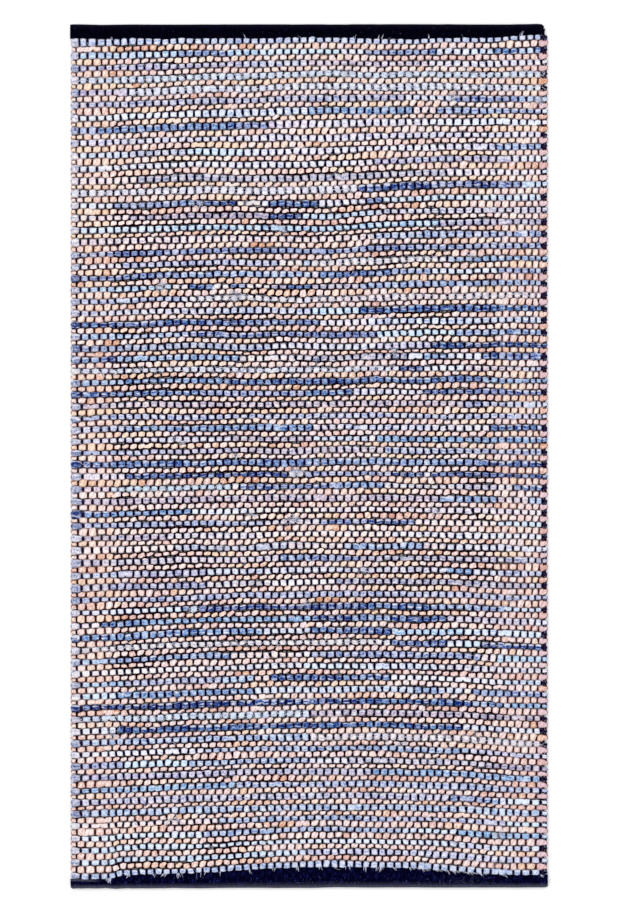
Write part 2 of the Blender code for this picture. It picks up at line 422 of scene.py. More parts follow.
def srgb(red, green, blue):
    """A colour as seen under the scene's light, 0 to 255, as the cloth's own linear values."""
    seen = np.array((red, green, blue)) / 255
    linear = np.where(seen <= 0.04045, seen / 12.92, ((seen + 0.055) / 1.055) ** 2.4) / LIGHT_GAIN
    return (*linear.tolist(), 1.0)


def shader_group(name, inputs, outputs):
    """An empty shader group with its named number sockets, and what its input node gives."""
    group = bpy.data.node_groups.new(name, "ShaderNodeTree")
    for direction, sockets in (("INPUT", inputs), ("OUTPUT", outputs)):
        for socket in sockets:
            group.interface.new_socket(socket, in_out=direction, socket_type="NodeSocketFloat")
    return group, add_node(group, "NodeGroupInput").outputs


def place_group(tree, group, inputs):
    """What a shader group gives, placed in a material with its own values."""
    return add_node(tree, "ShaderNodeGroup", inputs, node_tree=group).outputs


def strand_map(tree):
    """A place on a strand's own map, in metres along it and round it."""
    return result(tree, "ShaderNodeUVMap", uv_map="strand_map")


def attribute_value(tree, name):
    """The value of one of the piece's own point attributes."""
    return add_node(tree, "ShaderNodeAttribute", attribute_name=name).outputs["Fac"]


def noise(tree, place, scale, detail):
    """A noise with one scale, or with one for each way of a map."""
    if isinstance(scale, tuple):
        place = result(tree, "ShaderNodeMapping", {"Vector": place, "Scale": (*scale, 1.0)})
        scale = 1.0
    return result(tree, "ShaderNodeTexNoise", {"Vector": place, "Scale": scale, "Detail": detail})


def mixed(tree, factor, first, second, blend="MIX"):
    """The colour output of one Mix node."""
    colors = {0: factor, 6: first, 7: second}
    return add_node(tree, "ShaderNodeMix", colors, data_type="RGBA", blend_type=blend).outputs[2]


def bump(tree, shader, height, strength, distance):
    """A Bump node from a height to the shader's Normal."""
    normal = result(
        tree, "ShaderNodeBump", {"Strength": strength, "Distance": distance, "Height": height})
    tree.links.new(normal, shader.inputs["Normal"])


def new_material(name, roughness, specular):
    """A Principled cloth material, its node tree and its shader."""
    material = bpy.data.materials.new(name)
    material.use_nodes = True
    shader = material.node_tree.nodes["Principled BSDF"]
    shader.inputs["Roughness"].default_value = roughness
    shader.inputs["Specular IOR Level"].default_value = specular
    return material, material.node_tree, shader


def build_twist_group():
    """A yarn's plies and fibres, as slanted lines on the strand's own map."""
    tree, given = shader_group("yarn_twist", ("Ply Length", "Fibre Size", "Slant"), ("Ply", "Fibre"))
    split = add_node(tree, "ShaderNodeSeparateXYZ", {0: strand_map(tree)}).outputs
    leaning = calc(tree, "MULTIPLY_ADD", split["Y"], given["Slant"], split["X"])
    turns = calc(tree, "MULTIPLY", calc(tree, "DIVIDE", leaning, given["Ply Length"]), math.tau)
    ply = calc(tree, "MULTIPLY_ADD", calc(tree, "SINE", turns), 0.5, 0.5)
    slant_back = calc(tree, "MULTIPLY", given["Slant"], -1.0)
    across_lean = calc(tree, "MULTIPLY_ADD", split["X"], slant_back, split["Y"])
    fine = calc(tree, "DIVIDE", leaning, given["Fibre Size"])
    long = calc(tree, "DIVIDE", across_lean, calc(tree, "MULTIPLY", given["Fibre Size"], 7.0))
    fibre_place = result(tree, "ShaderNodeCombineXYZ", {0: fine, 1: long})
    add_node(tree, "NodeGroupOutput", {"Ply": ply, "Fibre": noise(tree, fibre_place, 1.0, 2.0)})
    return tree


twist_group = build_twist_group()


def join_rug(piece, node):
    """Makes a finished piece part of the rug, in place of a solid."""
    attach(piece, "root")
    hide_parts(node)


def warp_material(name, shade, lighter, dusty):
    """Dark two-ply cotton with a slightly lighter nap on its plies, dusty in the outer columns."""
    material, tree, shader = new_material(name, 0.9, 0.01)
    twist = place_group(tree, twist_group, {"Ply Length": 0.0022, "Fibre Size": 0.0003, "Slant": 0.9})
    nap = calc(tree, "MULTIPLY", twist["Ply"], twist["Fibre"])
    dust = calc(tree, "MULTIPLY", attribute_value(tree, "dust"), twist["Fibre"])
    color = mixed(tree, dust, mixed(tree, nap, shade, lighter), dusty)
    tree.links.new(color, shader.inputs["Base Color"])
    bump(tree, shader, calc(tree, "ADD", twist["Ply"], twist["Fibre"]), 0.5, 0.0004)
    return material


# The denim picks whose ends show as a sliver beyond the last warp end at the right edge
SHOWN_ENDS = (5, 11, 13, 15, 21, 23, 25, 29, 37, 51, 57, 61, 63, 67, 73, 85, 87, 93, 97, 103, 105, 109,
              111, 119, 121, 125, 127, 129, 131, 133, 137)


def warp_strand(end, aside=0.0, wide=1.0, covered=()):
    """One warp end from the top binding to the foot binding."""
    bare = float(outer_columns(end_places[PICKS // 2, end])) * (0 < end < ENDS - 1)
    first_x = end_x(end, 1) + aside
    last_x = end_x(end, PICKS) + aside
    places = [
        (end_places[0, end] + aside, HALF_LENGTH - WARP_CUT_INSET, WARP_CUT_Z),
        (first_x, row_at(row_lines, 1, first_x) + WARP_BESIDE_ROW, WARP_BESIDE_Z)]
    for pick in range(1, PICKS + 1):
        x = end_x(end, pick) + aside
        is_over = (end + pick) % 2 == 0 and pick not in covered
        if end == ENDS - 1:
            x += beat.normal(0, OUTER_WARP_SWAY)
        places.append((x, row_at(row_middles, pick, x), WARP_OVER if is_over else WARP_UNDER))
    places += [
        (last_x, row_at(row_lines, PICKS + 1, last_x) - WARP_BESIDE_ROW, WARP_BESIDE_Z),
        (end_places[-1, end] + aside, -HALF_LENGTH + WARP_CUT_INSET, WARP_CUT_Z)]
    uneven = 1 + beat.normal(0, OUTER_WARP_UNEVEN if aside else WARP_UNEVEN, len(places))
    uneven = np.clip(uneven, THINNEST_WARP, THICKEST_WARP)
    return {
        "places": np.array(places),
        "half_width": WARP_HALF_WIDTH * wide * (1 - 0.12 * bare) * uneven,
        "half_height": WARP_HALF_HEIGHT,
        "dust": OUTER_WARP_DUST if aside else bare,
    }


WARP_SECTION = {"sides": 4, "squareness": 2.0, "girth": 0.0046}
warp_over_denim = strand_piece(
    "warp_over_denim",
    [warp_strand(end, 0.0, 1.1) for end in range(1, ENDS, 2)]
    + [warp_strand(ENDS - 1, OUTER_WARP_ASIDE, 1.7, SHOWN_ENDS)],
    warp_material("navy_cotton", srgb(2, 0, 28), srgb(10, 8, 62), srgb(50, 34, 62)), **WARP_SECTION)
# The ends over the jute are the same navy-black yarn, tinted maroon: a painted reflection of the jute
warp_over_jute = strand_piece(
    "warp_over_jute",
    [warp_strand(end, 0.0, 1.5 if end == 0 else 0.76) for end in range(0, ENDS, 2)],
    warp_material("navy_cotton_painted_jute_reflection", srgb(24, 0, 10), srgb(52, 6, 18), srgb(98, 44, 34)), **WARP_SECTION)
join_rug(warp_over_denim, "woven_ground")
join_rug(warp_over_jute, "woven_ground")


# Denim weft
# 70 picks of torn denim strips, about 12 mm wide, crushed into a soft flat strand. Each pick joins
# several strips in different washes, and the strand turns round the edge to the next denim pick.
WEFT_TOP = 0.0080
EDGE_FILL = 1.03
EDGE_CELLS = 5
# A pick has three sections where it rises over a warp end and three where it dips under the next:
# their tops, widths, places beside the end in steps of an end, and how risen they are. A cell is
# one such rise with half a dip to either side.
RAISED_TOPS = (0.00765, WEFT_TOP, 0.00765)
DIPPED_TOPS = (0.0063, 0.0052, 0.0063)
RAISED_WIDTHS = (1.0, 1.0, 1.0)
DIPPED_WIDTHS = (1.0, 0.95, 1.0)
RAISED_OFFSETS = (-0.49, 0.0, 0.49)
DIPPED_OFFSETS = (-0.22, 0.0, 0.22)
RAISED_SHARES = (0.55, 1.0, 0.55)
DIPPED_SHARES = (0.0, 0.0, 0.0)
# How far out the picks reach at the left and at the right
EDGE_X = {-1: 0.2489, 1: 0.2494}
HIDING_TOP = 0.0074
# How the two wefts lie: how much they vary from cell to cell in width, in place and in tilt, how
# they slant as spun, how much of their row they fill, and how often they hide a warp end
DENIM_LIE = {"plump": 0.08, "aside": 0.00024, "tilt": 0.00022, "slant": 0.0, "fill": 1.0, "hides": 1.5}
JUTE_LIE = {"plump": 0.11, "aside": 0.00032, "tilt": 0.00032, "slant": 0.00038, "fill": 0.96, "hides": 1.0}

# The strips that stand out from the pale ones: the pick, and then for each strip where it
# starts and stops, in millimetres from the left edge, and its wash from 0, white, to 1, navy
MARKED_STRIPS = (
    (1, (0, 500, 0.28)),
    (3, (118, 160, 0.6), (307, 386, 0.55), (446, 472, 0.75), (485, 500, 0.8)),
    (7, (0, 500, 0.06)),
    (9, (60, 500, 0.08)),
    (11, (20, 349, 0.4), (404, 465, 0.6)),
    (13, (252, 357, 0.5), (388, 459, 0.45)),
    (15, (5, 25, 0.45), (30, 172, 0.6), (172, 205, 0.65)),
    (17, (0, 500, 0.18)),
    (19, (62, 125, 0.35), (200, 350, 0.11), (447, 500, 0.55)),
    (21, (0, 300, 0.11), (365, 404, 0.45)),
    (23, (72, 396, 0.4)),
    (25, (0, 306, 0.06), (306, 377, 0.85), (377, 417, 0.5), (418, 472, 0.75)),
    (27, (46, 135, 0.55), (135, 175, 0.75), (175, 200, 0.03), (208, 260, 0.7), (260, 310, 0.11),
     (310, 326, 0.6), (326, 500, 0.12)),
    (29, (213, 245, 0.8), (245, 323, 0.11), (323, 500, 0.3)),
    (31, (100, 386, 0.2), (386, 500, 0.45)),
    (33, (0, 323, 0.11), (323, 500, 0.45)),
    (35, (0, 35, 0.45), (43, 344, 0.6), (344, 500, 0.5)),
    (37, (56, 219, 0.38), (250, 391, 0.05), (402, 500, 0.45)),
    (39, (0, 114, 0.6), (114, 250, 0.42), (266, 334, 0.7), (334, 375, 0.5), (449, 500, 0.45)),
    (41, (124, 147, 0.8), (172, 185, 0.65), (229, 250, 0.7), (307, 500, 0.5)),
    (43, (124, 240, 0.05), (250, 490, 0.05)),
    (45, (307, 500, 0.8)),
    (47, (0, 51, 0.85), (51, 98, 0.7), (98, 145, 0.85), (147, 258, 0.65)),
    (49, (124, 250, 0.7), (250, 318, 0.7), (402, 500, 0.52)),
    (51, (379, 500, 0.85)),
    (53, (33, 49, 0.75), (250, 355, 0.45), (375, 396, 0.55), (428, 449, 0.75), (449, 500, 0.6)),
    (55, (0, 344, 0.06), (344, 370, 0.75)),
    (57, (56, 172, 0.6), (172, 428, 0.75), (428, 500, 0.5)),
    (59, (0, 140, 0.65), (140, 250, 0.5), (250, 292, 0.65), (370, 500, 0.68)),
    (61, (0, 412, 0.3), (412, 459, 0.45)),
    (63, (0, 500, 0.38)),
    (65, (56, 250, 0.55), (443, 500, 0.75)),
    (67, (318, 500, 0.5)),
    (69, (334, 500, 0.45)),
    (71, (0, 46, 0.65), (46, 82, 0.75), (82, 250, 0.65), (250, 433, 0.55), (433, 500, 0.85)),
    (73, (62, 229, 0.85), (229, 245, 0.02), (250, 334, 0.45), (336, 365, 0.8), (381, 500, 0.8)),
    (75, (41, 172, 0.05), (180, 287, 0.65), (287, 328, 0.5), (404, 443, 0.4), (464, 500, 0.6)),
    (77, (0, 386, 0.33), (386, 449, 0.55)),
    (79, (0, 124, 0.55)),
    (81, (266, 318, 0.62), (318, 360, 0.75)),
    (85, (287, 365, 0.48)),
    (87, (219, 250, 0.55), (255, 307, 0.55), (307, 500, 0.45)),
    (89, (51, 145, 0.4), (391, 417, 0.55)),
    (91, (46, 140, 0.45), (281, 500, 0.45)),
    (93, (0, 500, 0.38)),
    (95, (117, 127, 0.6), (135, 307, 0.8), (307, 381, 0.7), (381, 454, 0.5)),
    (97, (36, 72, 0.65), (72, 250, 0.45), (250, 292, 0.8), (292, 339, 0.5), (339, 396, 0.8)),
    (99, (0, 198, 0.58), (250, 276, 0.75), (279, 334, 0.65)),
    (101, (0, 334, 0.06), (334, 396, 0.72), (433, 500, 0.85)),
    (103, (46, 166, 0.55), (250, 428, 0.5)),
    (107, (62, 156, 0.4), (208, 334, 0.75)),
    (109, (46, 192, 0.55), (365, 381, 0.5), (422, 500, 0.55)),
    (111, (0, 302, 0.9), (302, 355, 0.75), (355, 422, 0.85), (438, 454, 0.6), (459, 500, 0.45)),
    (113, (0, 250, 0.05), (250, 500, 0.38)),
    (115, (46, 150, 0.85), (150, 407, 0.8)),
    (117, (0, 250, 0.35), (250, 500, 0.08)),
    (119, (250, 417, 0.45)),
    (121, (124, 250, 0.4), (433, 500, 0.45)),
    (125, (0, 177, 0.4), (177, 500, 0.38)),
    (127, (0, 396, 0.33), (396, 438, 0.5)),
    (129, (0, 500, 0.3)),
    (137, (0, 250, 0.12), (250, 500, 0.3)),
    (139, (0, 500, 0.33)),
)


def weft_line(pick, rng):
    """A pick's line and section over the field: places, half sizes and the cell that each is in."""
    is_denim = pick % 2 == 1
    lie = DENIM_LIE if is_denim else JUTE_LIE
    ends = np.repeat(np.arange(ENDS), 3)
    part = np.tile((0, 1, 2), ENDS)
    is_raised = (ends + pick) % 2 == 1

    def by_part(raised, dipped):
        """A value for each section, from those of a stretch over an end and of one under it."""
        return np.where(is_raised, np.take(raised, part), np.take(dipped, part))

    offsets = by_part(RAISED_OFFSETS, DIPPED_OFFSETS)
    x = end_x(ends + offsets, pick)
    top = by_part(RAISED_TOPS, DIPPED_TOPS)
    bottom = WEFT_TOP - by_part(DIPPED_TOPS, RAISED_TOPS)
    cells = ENDS // 2 + 1
    cell_of = np.clip(((ends + offsets + is_denim) / 2).astype(int), 0, cells - 1)
    is_edge = outer_columns(x)
    plump = rng.normal(0, lie["plump"], cells)[cell_of]
    aside = rng.normal(0, lie["aside"], cells)[cell_of]
    tilt = rng.normal(lie["slant"], lie["tilt"], cells) + drift(rng, np.arange(cells), 9, 0.00012)
    lean = tilt[cell_of] * (1 - 0.6 * is_edge) * np.where(is_raised, np.sign(offsets), 0)
    lift = np.clip(rng.normal(0, 0.00010, cells), -0.0003, 0.0001)[cell_of]
    # Here and there the strand bulges over a warp end, and hides it or half of it
    hiding = rng.random(ENDS)[ends] < (0.010 + 0.03 * is_edge) * lie["hides"]
    is_hidden = hiding & ~is_raised & (ends > 1) & (ends < ENDS - 2)
    shifts = rng.choice((-0.0012, -0.0006, 0.0, 0.0006, 0.0012), ENDS)[ends]
    top = np.where(is_hidden, HIDING_TOP, top) + np.where(is_raised, lift, 0)
    half = row_at(row_halves, pick, x)
    middle = row_at(row_middles, pick, x) + np.where(is_hidden, shifts, 0)
    fill = lie["fill"] * (1 - is_edge) + EDGE_FILL * is_edge
    wide = by_part(RAISED_WIDTHS, DIPPED_WIDTHS)
    # The lines above and below it, and the stretches where the jute looks pulled thin between them:
    # there the painted shade of the lines reaches further up its sides
    above, below = row_at(line_gaps, pick, x), row_at(line_gaps, pick + 1, x)
    if is_denim:
        above, below = [np.where(gap < 0, gap * 0.55, gap) for gap in (above, below)]
        painted_thinness = 0
    else:
        in_middle = 1 - ease(np.abs(middle), 0.25, 0.43)
        painted_thinness = np.clip(drift(rng, x, 0.06, 0.8) + rng.normal(0, 0.4), 0, 1.8) * (1 - is_edge)
        painted_thinness = painted_thinness * (0.35 + 0.65 * in_middle)
    return {
        "x": x,
        "y": middle + aside * (1 - 0.4 * is_edge) + lean,
        "z": (top + bottom) / 2,
        "half_width": half * wide * fill * (1 + plump),
        "half_height": (top - bottom) / 2,
        "open": np.maximum((above + below) / 2 - painted_thinness, -1.5),
        "shift": (above - below) * 0.08,
        "rise": by_part(RAISED_SHARES, DIPPED_SHARES),
        "cell": cell_of,
    }


# The end of a pick outside its last warp end, from the field outwards, by side and by whether it
# lies over or under there: how far in from the edge, z, its share of the row's half width, half
# height, and how far it leans towards the top end
TURN_SECTIONS = {
    (-1, True): ((0.0036, 0.0046, 1.04, 0.0033, 0.0), (0.0014, 0.0045, 1.02, 0.0030, 0.0),
                 (0.0003, 0.0044, 0.84, 0.0026, 0.0)),
    (-1, False): ((0.0042, 0.0046, 0.92, 0.0031, -0.0002), (0.0018, 0.0045, 0.86, 0.0030, 0.0001),
                  (0.0004, 0.0044, 0.70, 0.0026, 0.0002)),
    (1, True): ((0.0046, 0.0047, 0.92, 0.0032, -0.0005), (0.0020, 0.0046, 0.76, 0.0030, 0.0004),
                (0.0002, 0.0044, 0.44, 0.0026, 0.0014)),
    (1, "shown"): ((0.0047, 0.0044, 0.95, 0.0025, 0.0), (0.0033, 0.0046, 0.92, 0.0029, 0.0001),
                   (0.0016, 0.0047, 0.90, 0.0029, 0.0004), (0.0003, 0.0044, 0.62, 0.0026, 0.0008)),
    (1, False): ((0.0043, 0.0034, 0.95, 0.0021, 0.0), (0.0025, 0.0031, 0.88, 0.0019, 0.0001),
                 (0.0006, 0.0040, 0.60, 0.0018, 0.0002)),
}
FIELD_STOPS = {
    (-1, True): 0.0045, (-1, False): 0.0045, (1, True): 0.0052, (1, False): 0.0050, (1, "shown"): 0.0052}


def edge_points(side, pick, goes_over):
    """The outermost sections of a pick at one edge, from the field outwards."""
    points = []
    leaning = np.interp(pick, (96, 118), (1.0, -0.7)) if side > 0 else 1.0
    for reach, z, wide, high, lean in TURN_SECTIONS[side, goes_over]:
        x = side * (EDGE_X[side] - reach)
        half = row_at(row_halves, pick, x)
        points.append((x, row_at(row_middles, pick, x) + lean * leaning, z, half * wide, high))
    return points


def neck(tip, side):
    """The narrow place just beyond a pick's end, where the strand starts to turn."""
    x, y, z = tip[:3]
    return (x + side * 0.0003, y, z, 0.0009, 0.0013)


# The free turn from one pick to the next: its share of the way, how far in from the edge, z, half
# width and half height
FREE_TURN = (
    (0.22, 0.0015, 0.0034, 0.0015, 0.0019),
    (0.50, 0.0013, 0.0026, 0.0013, 0.0016),
    (0.78, 0.0015, 0.0034, 0.0015, 0.0019),
)
UNDER_TURN_LIFT, HIGH_TURN_LIFT = 0.0010, 0.0024
HIGH_TURNS_SHARE = 0.25
LANDING_SHARE, TIP_SHARE = 0.85, 0.8
# How open the gaps beside the ends and the turns are, at the left and at the right, which sets how
# far their painted shade reaches
END_OPEN = {-1: 0.2, 1: -0.6}
TURN_OPEN = {-1: 0.7, 1: 0.5}


def turn_points(side, pick, tip, rng):
    """The turn at one edge, from a pick's tip to its landing on the next pick of the same weft."""
    goes_over = (side > 0) == (pick % 2 == 0)
    lift = 0.0 if goes_over else UNDER_TURN_LIFT
    if side < 0 and rng.random() < HIGH_TURNS_SHARE and goes_over:
        lift = HIGH_TURN_LIFT
    edge = side * EDGE_X[side]
    start, finish = row_at(row_middles, pick, edge), row_at(row_middles, pick + 2, edge)
    landing = edge_points(side, pick + 2, goes_over)[::-1]
    points = [neck(tip, side)]
    for share, reach, z, wide, high in FREE_TURN:
        points.append((side * (EDGE_X[side] - reach), start + (finish - start) * share, z + lift, wide, high))
    points.append(neck(landing[0], side))
    for x, y, z, wide, high in landing:
        points.append((x, y, z, wide * LANDING_SHARE, high * LANDING_SHARE))
    return points


def free_stretch(points, openness, cell):
    """An end or a turn with its looks: fully risen, and with no rows to shift it between."""
    looks = np.tile((openness, 0.0, 1.0, cell), (len(points), 1))
    return np.column_stack((points, looks))


def whole_pick(pick, rng):
    """One pick with its two edge ends and its turn to the next pick of the same weft."""
    line = weft_line(pick, rng)
    is_denim = pick % 2 == 1
    right_kind = "shown" if pick in SHOWN_ENDS else not is_denim
    keep = line["x"] > -EDGE_X[-1] + FIELD_STOPS[-1, is_denim]
    keep &= line["x"] < EDGE_X[1] - FIELD_STOPS[1, right_kind]
    field = np.column_stack([values[keep] for values in line.values()])
    left = edge_points(-1, pick, is_denim)[::-1]
    right = edge_points(1, pick, right_kind)
    first_cell, last_cell = field[0, -1], field[-1, -1]
    stretches = [
        free_stretch(left, END_OPEN[-1], first_cell), field, free_stretch(right, END_OPEN[1], last_cell)]
    turns_right = (pick - 1) // 2 % 2 == 0
    if pick + 2 <= PICKS and turns_right:
        turn = turn_points(1, pick, right[-1], rng)
        stretches.append(free_stretch(turn, TURN_OPEN[1], last_cell))
    elif pick + 2 <= PICKS:
        turn = turn_points(-1, pick, left[0], rng)[::-1]
        stretches.insert(0, free_stretch(turn, TURN_OPEN[-1], first_cell))
    table = np.concatenate(stretches)
    table[[0, -1], 3:5] *= TIP_SHARE
    return {"places": table[:, :3], **dict(zip(list(line)[3:], table.T[3:]))}


# The pale strips between the marked ones are 45 to 210 mm long. How grey a strip is goes from 0,
# blue, to 1, grey, at these picks: greyer in the middle than towards the foot
RUG_WIDTH_MM = 2000 * HALF_WIDTH
STRIP_LENGTHS_MM = (45, 210)
PALE_WASH, PALEST_WASH, DARKEST_PALE_WASH = 0.17, 0.0, 0.44
BLUE_FROM = 0.45
GREY_ALONG = ((1, 15, 45, 60, 84, 96, 112, 139), (0.40, 0.54, 0.58, 0.66, 0.74, 0.58, 0.32, 0.14))
denim_rng = np.random.default_rng(23)
marked = {pick: strips for pick, *strips in MARKED_STRIPS}
denim_strands = {}
for pick in range(1, PICKS + 1, 2):
    strand = whole_pick(pick, denim_rng)
    cell_numbers, at = np.unique(strand["cell"], return_inverse=True)
    cell_middle = [strand["places"][strand["cell"] == number, 0].mean() for number in cell_numbers]
    from_left = (np.array(cell_middle) + HALF_WIDTH) * 1000
    wash, grey, tint, fray = np.zeros((4, len(cell_numbers)))
    start = 0.0
    joints = []
    while start < RUG_WIDTH_MM:
        stop = start + denim_rng.uniform(*STRIP_LENGTHS_MM)
        shade = float(np.clip(denim_rng.normal(PALE_WASH, 0.13), PALEST_WASH, DARKEST_PALE_WASH))
        joints.append((start, stop, shade))
        start = stop
    for start, stop, shade in joints + marked.get(pick, []):
        inside = (from_left >= start - 2) & (from_left < stop)
        strip_grey = np.interp(pick, *GREY_ALONG) + denim_rng.normal(0, 0.42)
        strip_grey = float(np.clip(strip_grey, 0, 0.3 if shade > BLUE_FROM else 1))
        wash[inside] = shade
        grey[inside] = strip_grey
        tint[inside] = 0.12 + 0.7 * strip_grey + denim_rng.uniform(-0.28, 0.28)
        fray[inside] = denim_rng.uniform(0.2, 1.0)
    # The cells at the left edge are a little darker, and the outermost is the darkest and grey:
    # painted shade where the strand turns round the edge
    wash[0] += 0.21
    wash[:EDGE_CELLS] += 0.04
    grey[0] = 1.0
    tint[0] = 0.6
    wash += denim_rng.normal(0, 0.07, len(wash)) * (0.5 + wash)
    reverse = np.clip(drift(denim_rng, from_left, 16, 0.55) + 0.30, 0.05, 1.0)
    looks = {"wash": np.clip(wash, 0.0, 1.0), "reverse": reverse, "tint": np.clip(tint, 0.0, 1.0),
             "fray": fray, "grey": np.clip(grey, 0.0, 1.0)}
    strand.update({look: values[at] for look, values in looks.items()})
    strand["half_width"] = strand["half_width"] * (1 - 0.07 * strand["wash"])
    del strand["cell"]
    denim_strands[pick] = strand


def level(tree, value, start, finish, low=0.0, high=1.0, kind="LINEAR"):
    """Low where the value is at the start or before it, high from the finish on."""
    limits = {"From Min": start, "From Max": finish, "To Min": low, "To Max": high}
    return result(tree, "ShaderNodeMapRange", {"Value": value, **limits}, interpolation_type=kind)


def smooth_step(tree, value, start, finish):
    """0 at the start and 1 from the finish on, with a smooth rise between."""
    return level(tree, value, start, finish, kind="SMOOTHSTEP")


def stirred(tree, value, by, amount, middle=0.5):
    """A value pushed up and down by a noise, by its amount."""
    return calc(tree, "MULTIPLY_ADD", calc(tree, "SUBTRACT", by, middle), amount, value)


def ramp(tree, value, stops):
    """The colour output of one Color Ramp node with (place, colour) stops."""
    node = add_node(tree, "ShaderNodeValToRGB", {0: value})
    band = node.color_ramp
    while len(band.elements) < len(stops):
        band.elements.new(1.0)
    for element, (place, color) in zip(band.elements, stops):
        element.position = place
        element.color = color
    return node.outputs[0]


def build_gap_shade_group():
    """How clear of the painted shade of the gaps a place on a strand is, and how near to its rim.

    The painted shade of the gap between two rows starts at Line Start across the strand, from 0 on
    its crown to 1 at its side, with an uneven edge, and a warp end's gap where the crown dips is
    painted dark too. Rim is 1 away from the crown, where the materials paint light and shade on the
    rounded strand. The strand's own values take part: open is 1 where the rows touch and the
    painted gap closes, shift moves the clear part towards the side that is more open, and rise is 1
    where the strand is at its highest.
    """
    tree, given = shader_group(
        "painted_gap_shade", ("Line Start", "Line Softness", "Dip Dark", "Dip Clear", "Rounding"), ("Clear", "Rim"))
    # Painted shade: dark lines along the strand's sides, where the gap between two rows lies
    across = attribute_value(tree, "across")
    from_crown = calc(tree, "ABSOLUTE", calc(tree, "SUBTRACT", across, attribute_value(tree, "shift")))
    ragged = stirred(tree, from_crown, noise(tree, strand_map(tree), 520.0, 2.0), 0.34)
    sunk = calc(tree, "SUBTRACT", 1.0, attribute_value(tree, "rise"))
    ragged = calc(tree, "MULTIPLY_ADD", sunk, given["Rounding"], ragged)
    line_start = calc(tree, "MULTIPLY_ADD", attribute_value(tree, "open"), 0.16, given["Line Start"])
    line_from = calc(tree, "SUBTRACT", line_start, given["Line Softness"])
    line_clear = calc(tree, "SUBTRACT", 1.0, smooth_step(tree, ragged, line_from, line_start))
    # Painted shade: darker towards the weave's mid-height, down in the dips under the warp ends
    object_place = add_node(tree, "ShaderNodeTexCoord").outputs["Object"]
    height = add_node(tree, "ShaderNodeSeparateXYZ", {0: object_place}).outputs["Z"]
    from_middle = calc(tree, "ABSOLUTE", calc(tree, "SUBTRACT", height, WEFT_TOP / 2))
    out_of_dip = smooth_step(tree, from_middle, given["Dip Dark"], given["Dip Clear"])
    dip_clear = calc(tree, "MAXIMUM", out_of_dip, smooth_step(tree, from_crown, 0.5, 0.75))
    # The rim, away from the crown, where the materials paint light and shade on the rounded strand
    rim_across = smooth_step(tree, from_crown, 0.15, 0.6)
    rim_along = smooth_step(tree, from_middle, 0.0039, 0.0035)
    add_node(tree, "NodeGroupOutput", {
        "Clear": calc(tree, "MULTIPLY", line_clear, dip_clear),
        "Rim": calc(tree, "MAXIMUM", rim_across, rim_along)})
    return tree


gap_shade_group = build_gap_shade_group()


